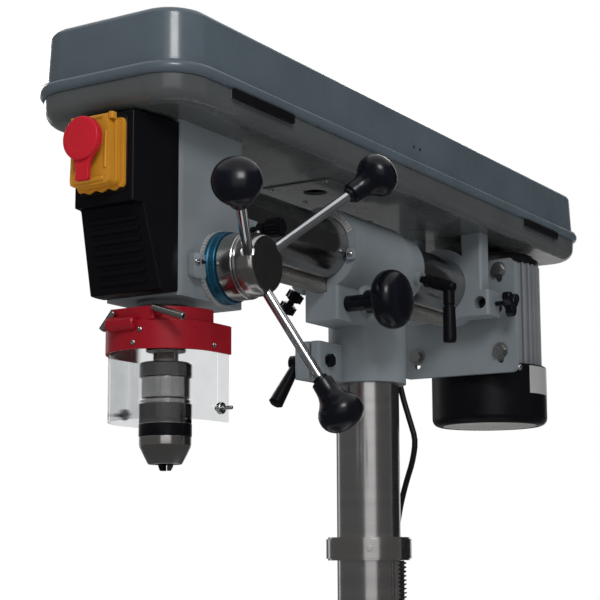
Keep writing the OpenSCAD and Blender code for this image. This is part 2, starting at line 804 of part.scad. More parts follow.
module ram_lock_lever() {
  color(black) translate([0, lock_y, ram_z]) rotate([0, -lock_angle, 0]) union() {
    bar_x(column_r + 1, 90, 0, 0, 4);
    translate([56, 0, 0]) rotate([0, 90, 0]) hexagon(13, 7);
    bar_x(66, 96, 0, 0, 6.5);
    translate([88, 0, 0]) rotate([0, 180 + lock_angle, 0]) union() {
      cylinder(h = 22, r = 6.5);
      translate([0, 0, 18]) cylinder(h = lock_grip_l - 18, r1 = 6.8, r2 = 7.8);
    }
  }
}

module ram_pinion() {
  color(steel) union() {
    translate([-8.5, -ram_pinion_y, ram_pinion_z]) rotate([0, 90, 0]) rotate(180)
      linear_extrude(height = 17) polygon(gear_outline(rack_module, ram_teeth));
    bar_x(-21, 60, -ram_pinion_y, ram_pinion_z, 7);
  }
}

module ram_knob() {
  color(black) difference() {
    translate([22.3, -ram_pinion_y, ram_pinion_z]) rotate([0, 90, 0]) rotate_extrude()
      polygon([[0, 0], [9, 0], [9, 25], [13, 26], [13, 38], [16, 40], [ram_knob_r - 6, 44],
               [ram_knob_r - 1.5, 50], [ram_knob_r, 57], [ram_knob_r - 2, 64],
               [ram_knob_r - 9, 70], [14, 73], [0, 73.5]]);
    bar_x(21, 60.3, -ram_pinion_y, ram_pinion_z, 7);
  }
}

module cord_gland() {
  color(black) union() {
    translate([gland_x, gland_y, gland_z + 4]) hexagon(15, 11.7);
    bar_z(gland_z + 10, gland_z + 22, gland_x, gland_y, 5.9);
    translate([gland_x, gland_y, cord_route[0][2] + seat_gap])
      cylinder(h = gland_z + 4 - cord_route[0][2], r1 = cord_r + 1, r2 = 6.5);
  }
}

module ram_rack() {
  from = head_clamp_y + 12 + seat_gap + ram_pinion_y;
  to = tail_y - seat_gap + ram_pinion_y;
  color(steel) difference() {
    translate([-rack_w / 2, -ram_pinion_y, ram_rack_pitch_z]) rotate([90, 0, 90])
      linear_extrude(height = rack_w) mirror([0, 1, 0])
        rack_outline(rack_module, from, to, ram_rack_h + 3);
    bar_y(head_clamp_y, tail_y + 1, 0, ram_z, rack_seat_r);
  }
}

// Ram, head and tail

tail_y = 190;
tail_rear = 225;

module ram_tube() {
  color(bright) difference() {
    bar_y(-ram_front, ram_rear, 0, ram_z, column_r);
    bar_y(-ram_front - 1, ram_rear + 1, 0, ram_z, column_r - tube_wall);
  }
}

module head_casting() {
  feed_bore_r = feed_shaft_r + tube_fit;
  color(paint_grey) difference() {
    union() {
      round_block(-head_half_w, head_half_w, -head_front, -head_rear, head_z, head_top, 7);
      bar_x(head_half_w - 1, head_half_w + 4.7, feed_y, feed_z, 36);
      bar_z(head_z - 4, head_z + 1, 0, spindle_y, quill_r + 9);
      round_block(26, head_half_w + 4, head_clamp_y - 20, head_clamp_y + 12,
                  head_clamp_z - 11, head_clamp_z + 11, 4);
    }
    bar_z(head_z - 5, quill_top + 6, 0, spindle_y, quill_r + tube_fit);
    bar_z(quill_top, head_top + 1, 0, spindle_y, pulley_hub_r + tube_fit);
    bar_y(-ram_front - seat_gap, head_clamp_y + 13, 0, ram_z, column_r + tube_fit);
    bar_x(-head_half_w - 1, 12, feed_y, feed_z, feed_cavity_r);
    bar_x(0, head_half_w + 6, feed_y, feed_z, feed_bore_r);
    bar_x(column_r - 10, head_half_w + 6, head_clamp_y, head_clamp_z, 4 + screw_fit);
    for (x = [-26, 26], z = [head_z + 12, head_top - 12]) {
      bar_y(-head_front - 1, -head_front + 14, x, z, 2.5);
    }
  }
}

// Cover outline seen from above
function cover_outline(inset) = [
  [-head_half_w + inset, -head_front], [-head_half_w + inset, -head_front - 12 + inset * 0.4],
  [-cover_half_w + inset * 0.8, -cover_front + inset], [cover_half_w - inset * 0.8, -cover_front + inset],
  [head_half_w - inset, -head_front - 12 + inset * 0.4], [head_half_w - inset, -head_front]
];

module head_cover() {
  step_z = 737;
  slope = [[-cover_front - 1, head_z - 1], [-451, head_z - 1], [-cover_front + 12, step_z],
           [-cover_front - 1, step_z]];
  color(black) difference() {
    union() {
      difference() {
        translate([0, 0, head_z + 2]) linear_extrude(height = head_top - head_z - 3)
          polygon(cover_outline(0));
        rotate([90, 0, 90]) translate([0, 0, -60]) linear_extrude(height = 120) polygon(slope);
      }
      for (i = [0 : 6]) {
        z = head_z + 10 + i * 9.5;
        front = 451 + (z - head_z) * (cover_front - 12 - 451) / (step_z - head_z) + 1.6;
        block(-cover_half_w + 5, cover_half_w - 5, -front, -front + 6, z, z + 4);
      }
    }
    translate([0, 0, head_z + 6]) linear_extrude(height = head_top - head_z - 11) intersection() {
      polygon(cover_outline(3));
      translate([-60, -447]) square([120, 40]);
    }
    translate([0, 0, step_z + 4]) linear_extrude(height = head_top - step_z - 9)
      polygon(cover_outline(3));
    bar_y(-cover_front - 1, -cover_front + 8, 0, (switch_z + switch_top) / 2, 9);
  }
}

// Lobed screw that clamps the ram tube in the head
module head_clamp_screw() {
  color(black) union() {
    bar_x(head_clamp_tip_x, head_half_w + 38, head_clamp_y, head_clamp_z, 4);
    bar_x(head_half_w + 12, head_half_w + 20, head_clamp_y, head_clamp_z, 6.5);
    for (a = [0 : 60 : 300]) translate([0, head_clamp_y, head_clamp_z]) rotate([a, 0, 0])
      bar_x(head_half_w + 24, head_half_w + 38, 6.5, 0, 3.5);
    bar_x(head_half_w + 22, head_half_w + 40, head_clamp_y, head_clamp_z, 7);
  }
}

module spring_cap() {
  x0 = -head_half_w - spring_cap_t;
  color(black) difference() {
    union() {
      bar_x(x0 + 2, -head_half_w, feed_y, feed_z, 30);
      bar_x(x0, -head_half_w, feed_y, feed_z, 28);
    }
    bar_x(x0 + 3, -head_half_w + 1, feed_y, feed_z, 26);
    bar_x(x0 - 1, x0 + 4, feed_y, feed_z, feed_shaft_r - 2 + tube_fit);
  }
}

module tail_bracket() {
  color(paint_grey) difference() {
    union() {
      bar_y(tail_y, tail_rear, 0, ram_z, column_r + 12);
      round_block(30, 59, tail_y, tail_y + 24, rod_z, head_top, 4);
      round_block(-59, -30, tail_y, tail_y + 24, rod_z, head_top, 4);
      for (s = [-1, 1]) {
        round_block(s * 36 - 32, s * 36 + 32, tail_y, tail_rear, rod_z - 16, rod_z + 16, 4);
      }
    }
    bar_y(tail_y - 1, tail_rear + 1, 0, ram_z, column_r + tube_fit);
    for (s = [-1, 1]) bar_y(tail_y - 1, tail_rear + 1, s * rod_x, rod_z, rod_r + tube_fit);
    bar_x(rod_x + rod_r - 1, 69, tension_y, rod_z, 3 + screw_fit);
  }
}

// Belt guard

// One level of a guard shell: a thin rounded slab that is drawn in from the rim outline
module guard_slab(z, inset, h) {
  w = 2 * (guard_half_w - inset);
  d = guard_front + guard_rear - 2 * inset;
  translate([0, (guard_rear - guard_front) / 2, z]) linear_extrude(height = h)
    round_rect(w, d, max(6, guard_corner - inset), $fn = 32);
}

// Outline lids and trays are drawn from: a list of height and inset pairs, lowest first
module guard_shell(levels, extra, low_cut, high_cut) {
  hull() for (l = levels) {
    guard_slab(l[0] + (l[0] == levels[0][0] ? low_cut : 0) - (l[0] == levels[len(levels) - 1][0] ? high_cut : 0),
               l[1] + extra, 0.1, $fn = 32);
  }
}

lid_levels = [
  [rim_z + rim_h, rim_lip], [lid_top - 16, rim_lip + 3.5], [lid_top - 8, rim_lip + 6],
  [lid_top - 3, rim_lip + 10], [lid_top - 0.1, rim_lip + 18]
];
tray_levels = [
  [head_top, rim_lip + 13], [head_top + 4, rim_lip + 7], [rim_z - 0.1, rim_lip - 1]
];

module belt_lid() {
  color(guard_grey) difference() {
    union() {
      guard_slab(rim_z + 2, 0, rim_h - 4);
      guard_slab(rim_z, 1.5, rim_h);
      guard_shell(lid_levels, 0, -1, 0);
    }
    guard_slab(rim_z - 1, rim_lip + sheet, rim_h + 1);
    guard_shell(lid_levels, sheet, -1.2, sheet);
  }
}

module belt_tray() {
  color(tray_grey) difference() {
    union() {
      guard_shell(tray_levels, 0, 0, 0);
      for (y = hinge_ys) block(hinge_seat_x - 4, hinge_seat_x, y, y + hinge_l, rim_z - 9, rim_z);
    }
    guard_shell(tray_levels, sheet, tray_floor_t, -1);
    bar_z(head_top - 1, head_top + 6, 0, spindle_y, 26);
    round_block(-30, 30, motor_y - 44, motor_y + 30, head_top - 1, head_top + 6, 29.9);
    bar_z(head_top - 1, head_top + 6, 0, -114, 13.5);
  }
}

// Two flat hinges along the right side of the tray
module lid_hinges() {
  color(black) for (y = hinge_ys) {
    block(hinge_seat_x, guard_half_w - 0.4, y, y + hinge_l, rim_z - 9, rim_z - seat_gap);
  }
}

// Pulleys and belt

module v_groove(r) {
  rotate_extrude() polygon([
    [r + 1, -belt_w / 2 - 0.4 - belt_gap], [r - groove_depth - 0.6, -3.2 - belt_gap],
    [r - groove_depth - 0.6, 3.2 + belt_gap], [r + 1, belt_w / 2 + 0.4 + belt_gap]
  ]);
}

// Step pulley; up is +1 when the largest step is at the top
module step_pulley(up) {
  difference() {
    for (i = [0 : step_count - 1]) {
      r = step_min_r + step_rise * (up > 0 ? i : step_count - 1 - i);
      translate([0, 0, pulley_z + i * step_h]) cylinder(h = step_h + (i < step_count - 1 ? eps : 0), r = r);
    }
    for (i = [0 : step_count - 1]) {
      r = step_min_r + step_rise * (up > 0 ? i : step_count - 1 - i);
      translate([0, 0, pulley_z + (i + 0.5) * step_h]) v_groove(r);
    }
  }
}

module spindle_pulley() {
  color(steel) translate([0, spindle_y, 0]) difference() {
    union() {
      step_pulley(1);
      bar_z(quill_top + 8, pulley_z + 1, 0, 0, pulley_hub_r);
    }
    bar_z(quill_top, pulley_z + pulley_h + 1, 0, 0, spline_r + tube_fit);
  }
}

module motor_pulley() {
  color(steel) translate([0, motor_y, 0]) difference() {
    step_pulley(-1);
    bar_z(pulley_z - 1, pulley_z + pulley_h + 1, 0, 0, 7 + tube_fit);
  }
}

function belt_section() = [
  [belt_r - groove_depth, -3.2], [belt_r, -belt_w / 2 + 0.2], [belt_r, belt_w / 2 - 0.2],
  [belt_r - groove_depth, 3.2]
];

module v_belt() {
  color(black) translate([0, 0, belt_z]) union() {
    translate([0, spindle_y, 0]) rotate(180) rotate_extrude(angle = 180) polygon(belt_section());
    translate([0, motor_y, 0]) rotate_extrude(angle = 180) polygon(belt_section());
    for (s = [0, 1]) mirror([s, 0, 0]) translate([0, motor_y, 0]) rotate([90, 0, 0])
      linear_extrude(height = motor_y - spindle_y) polygon(belt_section());
  }
}

// Motor

bolt_x = 60;
bolt_zs = [680, 785];
foot_t = 8;
rotor_r = 44;
tension_y = 212;

module motor_plate() {
  color(paint_grey) difference() {
    translate([0, plate_y + plate_t, 0]) rotate([90, 0, 0]) linear_extrude(height = plate_t)
      translate([0, (plate_z + plate_top) / 2])
        round_rect(2 * plate_half_w, plate_top - plate_z, 8);
    for (x = [-bolt_x, bolt_x], z = bolt_zs) {
      translate([x, plate_y + plate_t + 1, z - 4]) rotate([90, 0, 0])
        linear_extrude(height = plate_t + 2) round_rect(8.6, 24, 4.29);
    }
  }
}

// Four hexagon bolts with their washers
module motor_bolts() {
  color(bright) for (x = [-bolt_x, bolt_x], z = bolt_zs) translate([x, plate_y, z]) rotate([90, 0, 0]) {
    translate([0, 0, -plate_t - foot_t - 2]) cylinder(h = plate_t + foot_t + 2 + eps, r = 4);
    cylinder(h = 1.6, r = 10.5);
    translate([0, 0, 1.6 - eps]) hexagon(14, 6);
  }
}

module slide_rods() {
  color(steel) for (s = [-1, 1]) {
    bar_y(tail_y + 15, plate_y, s * rod_x, rod_z, rod_r);
  }
}

module motor_housing() {
  pad_y = plate_y + plate_t;
  color([0.75, 0.76, 0.77]) difference() {
    union() {
      translate([0, motor_y, motor_z]) linear_extrude(height = motor_top - motor_z) union() {
        circle(r = motor_r - fin_d);
        for (i = [0 : fin_count - 1]) rotate((i + 0.5) * 360 / fin_count)
          translate([motor_r - fin_d - 1, -1.2]) square([fin_d + 1, 2.4]);
      }
      for (x = [-1, 1]) {
        block(x * bolt_x - 12, x * bolt_x + 12, pad_y, pad_y + foot_t, motor_z + 2, motor_top - 4);
        block(x * 42 - 12, x * 42 + 12, pad_y + 2, motor_y - 40, motor_z + 2, motor_top - 4);
        block(x * 54 - 12, x * 54 + 12, pad_y, pad_y + foot_t, motor_z + 2, motor_top - 4);
      }
    }
    bar_z(motor_z - 1, motor_top + 1, 0, motor_y, rotor_r + 3);
    for (x = [-bolt_x, bolt_x], z = bolt_zs) bar_y(pad_y - 1, pad_y + foot_t + 3, x, z, 4 + screw_fit);
  }
}

module motor_end_shield() {
  color(black) translate([0, motor_y, 0]) difference() {
    union() {
      bar_z(motor_top, motor_top + 8, 0, 0, motor_r - 1);
      bar_z(motor_top + 7, motor_top + 14, 0, 0, motor_r - 8);
      bar_z(motor_top + 7, motor_top + 22, 0, 0, 20);
    }
    bar_z(motor_top - 1, motor_top + 24, 0, 0, 8 + tube_fit);
  }
}

module motor_fan_cover() {
  color(black) translate([0, motor_y, 0]) difference() {
    union() {
      bar_z(fan_cover_z + 6, motor_z, 0, 0, fan_cover_r);
      translate([0, 0, fan_cover_z]) cylinder(h = 6 + eps, r1 = fan_cover_r - 6, r2 = fan_cover_r);
    }
    bar_z(fan_cover_z + 3, fan_cover_z + 7, 0, 0, fan_cover_r - 8);
    bar_z(fan_cover_z + 6, motor_z - 10, 0, 0, fan_cover_r - 3);
    bar_z(motor_z - 11, motor_z + 1, 0, 0, 8 + tube_fit);
    for (i = [-7 : 7]) {
      y = i * 7.5;
      half = sqrt(pow(fan_cover_r - 14, 2) - y * y);
      block(-half, half, y - 1.8, y + 1.8, fan_cover_z - 1, fan_cover_z + 4);
    }
  }
}

// Rotor with its shaft and cooling fan
module motor_rotor() {
  color(steel) translate([0, motor_y, 0]) union() {
    bar_z(motor_z + 20, motor_top - 20, 0, 0, rotor_r);
    bar_z(fan_cover_z + 12, motor_top + 24, 0, 0, 8);
    bar_z(motor_top + 23, pulley_z + pulley_h, 0, 0, 7);
    bar_z(fan_cover_z + 12, fan_cover_z + 46, 0, 0, 18);
    for (a = [0 : 45 : 315]) rotate(a) block(16, 64, -1.5, 1.5, fan_cover_z + 14, fan_cover_z + 44);
  }
}

// Lobed screw that clamps the slide rod
module tension_screw() {
  color(black) union() {
    bar_x(rod_x + rod_r + seat_gap, 92, tension_y, rod_z, 3);
    bar_x(82, 94, tension_y, rod_z, 6);
    for (s = [-1, 1]) block(84, 92, tension_y - 3.5, tension_y + 3.5, rod_z - 14, rod_z + 14);
    for (s = [-1, 1]) bar_x(84, 92, tension_y, rod_z + s * 12, 5);
  }
}

// Feed

module feed_shaft() {
  color(steel) union() {
    translate([-10, feed_y, feed_z]) rotate([0, 90, 0]) rotate(90)
      linear_extrude(height = 20) polygon(gear_outline(quill_module, feed_teeth));
    bar_x(-head_half_w - spring_cap_t - 2, -9.9, feed_y, feed_z, feed_shaft_r - 2);
    bar_x(9.9, feed_hub_face - 20, feed_y, feed_z, feed_shaft_r);
  }
}

module feed_hub() {
  color(bright) difference() {
    union() {
      bar_x(hub_collar_x, hub_collar_x + 18, feed_y, feed_z, 32.5);
      bar_x(hub_collar_x + 17, feed_hub_face - 2, feed_y, feed_z, feed_hub_r);
      bar_x(feed_hub_face - 3, feed_hub_face, feed_y, feed_z, feed_hub_r - 2);
    }
    bar_x(hub_collar_x - 1, feed_hub_face - 20, feed_y, feed_z, feed_shaft_r);
    at_spokes() cylinder(h = 60, r = spoke_r);
  }
}

// Places its children at the three handles, with +Z out along the handle
module at_spokes() {
  for (i = [0 : 2]) {
    translate([spoke_root_x, feed_y, feed_z]) rotate([spoke_phase - 90 + 120 * i, 0, 0])
      rotate([0, spoke_lean, 0]) translate([0, 0, 12]) children();
  }
}

module feed_spokes() {
  color(bright) at_spokes() cylinder(h = spoke_l - 12 - 10, r = spoke_r);
}

module feed_knobs() {
  start = spoke_l - 12 - 38;
  color(black) at_spokes() difference() {
    translate([0, 0, start]) rotate_extrude() polygon([
      [0, 0], [9, 0], [9.5, 10], [13, 17], [knob_r - 4, 25], [knob_r, 34],
      [knob_r - 1, 42], [knob_r - 6, 50], [knob_r - 14, 54], [0, 55]
    ]);
    translate([0, 0, -1]) cylinder(h = spoke_l - 12 - 9, r = spoke_r);
  }
}

// Ring with the depth scale, which turns on the feed boss
module depth_ring() {
  color([0.10, 0.50, 0.62]) difference() {
    union() {
      bar_x(depth_ring_x, depth_ring_x + depth_ring_t, feed_y, feed_z, 34.5);
      bar_x(depth_ring_x, depth_ring_x + 4, feed_y, feed_z, 35.5);
    }
    bar_x(depth_ring_x - 1, depth_ring_x + depth_ring_t + 1, feed_y, feed_z, feed_shaft_r + seat_gap);
  }
}

// Quill, spindle and chuck

module quill() {
  rack_from = feed_z - 12;
  flat_y = quill_rack_pitch + rack_tip * quill_module;
  pitch = PI * quill_module;
  color(steel) translate([0, spindle_y, 0]) difference() {
    bar_z(quill_z, quill_top, 0, 0, quill_r);
    bar_z(quill_z - 1, quill_top + 1, 0, 0, spindle_r + tube_fit);
    bar_z(quill_z + 20, quill_top - 20, 0, 0, spindle_r + 3);
    block(-quill_r, quill_r, flat_y, quill_r + 1, rack_from, quill_top + 1);
    for (k = [-2 : floor((quill_top - feed_z) / pitch)]) {
      translate([-quill_r, quill_rack_pitch, feed_z + k * pitch]) rotate([90, 0, 90])
        linear_extrude(height = 2 * quill_r) rotate(-90) rack_gap(quill_module);
    }
  }
}

// Clamp ring on the quill with the knuckle that the hood swings on
module guard_collar() {
  knuckle_y = guard_pivot_y - spindle_y;
  color(red) translate([0, spindle_y, 0]) difference() {
    union() {
      bar_z(hood_z + 12, hood_top - 2, 0, 0, 33);
      block(-14, 14, knuckle_y + 2, 0, guard_pivot_z - 9, guard_pivot_z + 3);
      block(-12, 12, knuckle_y, -30, guard_pivot_z - 4.8, guard_pivot_z + 4.8);
      bar_x(-12, 12, knuckle_y, guard_pivot_z, 4.8);
    }
    bar_z(hood_z, hood_top + 1, 0, 0, quill_r + tube_fit);
    bar_x(-15, 15, knuckle_y, guard_pivot_z, guard_pin_r + tube_fit);
  }
}

// Outline of the hood and shield seen from above: round in front, straight sides, open behind
module guard_outline(r, wall) {
  difference() {
    union() {
      circle(r = r);
      translate([-r, 0]) square([2 * r, hood_back]);
    }
    circle(r = r - wall);
    translate([-r + wall, 0]) square([2 * (r - wall), r + 10]);
    translate([-r - 1, hood_back]) square([2 * r + 2, r + 10]);
  }
}

module guard_hood() {
  outer = shield_r + seat_gap + hood_wall;
  color(red) union() {
    translate([0, spindle_y, hood_z]) linear_extrude(height = hood_top - hood_z)
      guard_outline(outer, hood_wall);
    for (s = [-1, 1]) {
      block(s * 23 - 6.5, s * 23 + 6.5, spindle_y - shield_r + 1, guard_pivot_y + 5,
            shield_top + seat_gap, guard_pivot_z + 5);
      bar_x(s * (shield_r - 1.5) - 4.5, s * (shield_r - 1.5) + 4.5, shield_screw_y, shield_screw_z, 1.5);
      bar_x(s * (shield_r - shield_wall - 1.8) - 1.5, s * (shield_r - shield_wall - 1.8) + 1.5,
            shield_screw_y, shield_screw_z, 3.2);
    }
    block(outer - 2, outer + 9, spindle_y - 4, spindle_y + hood_back, hood_z, hood_top - 10);
    block(-outer - 5, -outer + 2, spindle_y - 4, spindle_y + hood_back, hood_z, hood_top - 10);
    bar_x(-29.5, 29.5, guard_pivot_y, guard_pivot_z, guard_pin_r);
  }
}

module chuck_shield() {
  slot_low = shield_z + 12;
  slot_high = shield_screw_z + shield_travel + 2;
  color([0.80, 0.84, 0.86, 0.35]) difference() {
    translate([0, spindle_y, shield_z]) linear_extrude(height = shield_top - shield_z)
      guard_outline(shield_r, shield_wall);
    for (s = [-1, 1]) {
      translate([s * shield_r - 5, shield_screw_y, (slot_low + slot_high) / 2]) rotate([90, 0, 90])
        linear_extrude(height = 10) round_rect(4, slot_high - slot_low, 2 - eps);
    }
  }
}

module spindle() {
  color(steel) translate([0, spindle_y, 0]) union() {
    bar_z(chuck_top - 24, quill_z + 1, 0, 0, 7);
    bar_z(chuck_top + 1, quill_z - 0.5, 0, 0, 12);
    bar_z(quill_z - 1, quill_top + 3, 0, 0, spindle_r);
    bar_z(quill_top + 2, spindle_top, 0, 0, spline_r);
  }
}

module chuck_body() {
  color(steel) translate([0, spindle_y, 0]) difference() {
    union() {
      bar_z(chuck_top - 14, chuck_top, 0, 0, chuck_r);
      bar_z(sleeve_top_z + seat_gap, chuck_top - 13, 0, 0, chuck_r - 1.8);
      bar_z(nose_z + 22, sleeve_top_z + 1, 0, 0, 14);
    }
    bar_z(chuck_top - 24.5, chuck_top + 1, 0, 0, 7 + screw_fit);
    bar_z(nose_z, nose_z + 44, 0, 0, 8);
  }
}

module chuck_jaws() {
  color(black) translate([0, spindle_y, 0]) for (a = [30 : 120 : 270]) rotate(a) difference() {
    intersection() {
      union() {
        bar_z(jaw_z + 4, nose_z + 40, 0, 0, 7.8);
        translate([0, 0, jaw_z]) cylinder(h = 4 + eps, r1 = 5.6, r2 = 7.8);
      }
      translate([0, -jaw_w / 2, jaw_z - 1]) cube([12, jaw_w, 60]);
    }
    bar_z(jaw_z - 1, nose_z + 41, 0, 0, jaw_bore_r);
  }
}

module chuck_sleeve() {
  color(steel) translate([0, spindle_y, 0]) difference() {
    union() {
      translate([0, 0, nose_z]) cylinder(h = cone_z - nose_z + eps, r1 = 16, r2 = chuck_r);
      bar_z(cone_z, band_z, 0, 0, chuck_r);
      bar_z(band_z - eps, band_z + band_h, 0, 0, chuck_r + 0.4);
      bar_z(band_z + band_h - eps, sleeve_top_z - 3, 0, 0, chuck_r);
      bar_z(sleeve_top_z - 4, sleeve_top_z, 0, 0, chuck_r - 1);
    }
    bar_z(nose_z - 1, nose_z + 21.7, 0, 0, 8.4);
    bar_z(nose_z + 21.6, sleeve_top_z + 1, 0, 0, 14 + seat_gap);
  }
}

// Switch

switch_front = -cover_front - switch_d;

stop_z = 792;
start_z = 769;
start_r = 8;
flap_pin_y = switch_front - 3.5;
flap_pin_z = switch_top - 5;

module switch_housing() {
  mid = (switch_z + switch_top) / 2;
  ear_x = switch_w / 2 - 5;
  color(yellow) difference() {
    union() {
      translate([0, -cover_front, mid]) rotate([90, 0, 0]) linear_extrude(height = switch_d)
        round_rect(switch_w, switch_top - switch_z, 5);
      for (s = [-1, 1]) {
        block(s * ear_x - 2.5, s * ear_x + 2.5, flap_pin_y - 2.5, switch_front + 1,
              flap_pin_z - 3, flap_pin_z + 4);
      }
    }
    translate([0, -cover_front - 4, mid - 3]) rotate([90, 0, 0]) linear_extrude(height = switch_d)
      round_rect(switch_w - 14, switch_top - switch_z - 22, 3);
    bar_y(-cover_front - 5, -cover_front + 1, 0, start_z, start_r + seat_gap + 0.1);
    bar_x(-ear_x - 3, ear_x + 3, flap_pin_y, flap_pin_z, 1.5 + screw_fit);
  }
}

module start_button() {
  rear = -cover_front - 3.4;
  color([0.05, 0.45, 0.15]) union() {
    bar_y(rear - 5.6, rear, 0, start_z, start_r);
    bar_y(rear - 6.6, rear - 5, 0, start_z, start_r - 1);
  }
}

module switch_flap() {
  low = switch_z + 3;
  high = switch_top - 10;
  barrel_x = switch_w / 2 - 8;
  color(yellow) difference() {
    union() {
      translate([0, switch_front - seat_gap, (low + high) / 2]) rotate([90, 0, 0])
        linear_extrude(height = flap_t) round_rect(switch_w - 8, high - low, 4);
      block(-barrel_x, barrel_x, flap_pin_y - 2.5, flap_pin_y + 2.5, high - 3, flap_pin_z);
      bar_x(-barrel_x, barrel_x, flap_pin_y, flap_pin_z, 3);
      bar_x(-switch_w / 2 + 2.5, switch_w / 2 - 2.5, flap_pin_y, flap_pin_z, 1.5);
    }
    translate([0, switch_front - seat_gap + 1, (low + high) / 2]) rotate([90, 0, 0])
      linear_extrude(height = flap_t - 3) round_rect(switch_w - 14, high - low - 6, 3);
    bar_y(switch_front - flap_t - 2, switch_front, 0, stop_z, 10 + seat_gap);
  }
}

// Red stop button with its pull tab
module stop_button() {
  front = switch_front - seat_gap - flap_t;
  color(red) union() {
    bar_y(front - 5, front + flap_t - 1, 0, stop_z, 10);
    bar_y(front - 12, front - 4, 0, stop_z, stop_r);
    bar_y(front - 14, front - 11, 0, stop_z, stop_r - 2);
    block(-7, 7, front - 10, front - 5, stop_z - 38, stop_z - 12);
  }
}

base_casting();
column_flange();
base_screws();
column_tube();
rack_collar();
mains_cord();
cord_coil();
mains_plug();
table_rack();
table_bracket();
table_gear();
table_crank();
crank_grip();
table_lock_lever();
table_plate();
arm_bracket();
arm_clamp_lever();
star_screw();
ram_lock_lever();
ram_pinion();
ram_knob();
cord_gland();
ram_rack();
ram_tube();
head_casting();
head_cover();
head_clamp_screw();
spring_cap();
tail_bracket();
belt_tray();
lid_hinges();
belt_lid();
motor_plate();
motor_bolts();
motor_housing();
motor_end_shield();
motor_fan_cover();
slide_rods();
motor_rotor();
motor_pulley();
tension_screw();
v_belt();
spindle_pulley();
feed_shaft();
feed_hub();
feed_spokes();
feed_knobs();
depth_ring();
quill();
guard_collar();
guard_hood();
chuck_shield();
spindle();
chuck_body();
chuck_jaws();
chuck_sleeve();
switch_housing();
start_button();
switch_flap();
stop_button();
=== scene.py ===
# %% [markdown]
# A radial arm drill has one long job: hold a drill head out over the work. A column
# carries an arm bracket, a polished ram slides and tilts in the bracket, and the head
# hangs on its front end while the motor hangs on its rear end. The imported model gives
# us every joint and every size, so Blender only has to dress it: soft edges, cast
# skin, brushed steel, chrome, moulded plastic and small fittings. The frame is loaded
# first.

# %% Load the frame
import json
from math import atan2, cos, pi, radians, sin, sqrt

import bmesh
import bpy
from mathutils import Matrix, Vector

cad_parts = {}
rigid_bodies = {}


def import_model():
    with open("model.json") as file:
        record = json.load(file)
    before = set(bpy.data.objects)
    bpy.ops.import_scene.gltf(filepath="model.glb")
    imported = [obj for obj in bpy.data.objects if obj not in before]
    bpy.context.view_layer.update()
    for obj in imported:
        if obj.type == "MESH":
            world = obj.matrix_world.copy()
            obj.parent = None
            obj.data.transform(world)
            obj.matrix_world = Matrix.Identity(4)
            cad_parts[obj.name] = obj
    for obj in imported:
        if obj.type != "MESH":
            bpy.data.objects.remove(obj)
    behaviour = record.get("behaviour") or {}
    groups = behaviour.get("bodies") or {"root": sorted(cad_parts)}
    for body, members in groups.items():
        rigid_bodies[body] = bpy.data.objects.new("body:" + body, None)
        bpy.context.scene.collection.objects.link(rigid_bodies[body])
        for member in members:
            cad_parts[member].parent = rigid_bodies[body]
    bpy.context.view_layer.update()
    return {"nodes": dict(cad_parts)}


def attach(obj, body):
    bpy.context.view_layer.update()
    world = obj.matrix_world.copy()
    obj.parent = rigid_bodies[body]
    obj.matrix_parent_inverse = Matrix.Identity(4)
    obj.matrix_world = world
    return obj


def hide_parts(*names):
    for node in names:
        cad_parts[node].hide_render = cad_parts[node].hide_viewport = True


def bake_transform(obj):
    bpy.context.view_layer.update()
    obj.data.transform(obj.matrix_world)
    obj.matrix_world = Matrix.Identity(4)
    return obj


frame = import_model()


# %% [markdown]
# The camera stands where the photographer stood: in front of the drill, a little to
# its right and a little below the arm, looking slightly up. A long lens keeps the
# sides of the column straight. The frame sits slightly above the lens axis, so the
# camera gets a small vertical shift. The camera is made from its position and three
# angles, which keeps the numbers easy to read.

# %% Camera
MM = 0.001
CAMERA_AT = Vector((0.886167, -1.560965, 0.413480))
CAMERA_TURN, CAMERA_RISE, CAMERA_ROLL = 0.5599, 0.1486, -0.004
LENS_PIXELS, PHOTO_WIDTH, SENSOR_WIDTH = 1549.72, 600, 36


def camera_axes(turn, rise, roll):
    """Right, up and forward directions of a camera from its three angles."""
    forward = Vector((-sin(turn) * cos(rise), cos(turn) * cos(rise), sin(rise)))
    level = Vector((cos(turn), sin(turn), 0))
    over = level.cross(forward)
    right = cos(roll) * level + sin(roll) * over
    up = -sin(roll) * level + cos(roll) * over
    return right, up, forward


right, up, forward = camera_axes(CAMERA_TURN, CAMERA_RISE, CAMERA_ROLL)
bpy.ops.object.camera_add()
camera = bpy.context.object
camera.name = "photo_camera"
pose = Matrix((right, up, -forward)).transposed().to_4x4()
pose.translation = CAMERA_AT
camera.matrix_world = pose
camera.data.sensor_width = SENSOR_WIDTH
camera.data.lens = SENSOR_WIDTH * LENS_PIXELS / PHOTO_WIDTH
camera.data.shift_y = 0.05
camera.data.clip_end = 20
bpy.context.scene.camera = camera
print("camera lens in mm", round(camera.data.lens, 2))


# %% [markdown]
# Every piece is made in the same few moves. We work in millimetres, because that is
# how a drawing of a drill is read, and turn them into metres as the mesh is placed.
# Operators act on all that is selected, so each move starts from an empty selection.

# %% Moves that select and place
def nothing_selected():
    """Leave edit mode and drop the selection."""
    if bpy.context.object and bpy.context.object.mode != "OBJECT":
        bpy.ops.object.mode_set(mode="OBJECT")
    bpy.ops.object.select_all(action="DESELECT")


def choose(piece):
    """Make one piece the only selected and active one."""
    nothing_selected()
    piece.select_set(True)
    bpy.context.view_layer.objects.active = piece


def fix_place(piece):
    """Move a piece's place into its mesh, so that its object sits at the origin."""
    choose(piece)
    bpy.ops.object.transform_apply(location=True, rotation=True, scale=True)


print("one unit of the drawing is", MM, "m")


# %% Moves that clean and round a mesh
SAME_PLACE = 1e-6
EDGE_ANGLE, SMOOTH_ANGLE = 32, 40


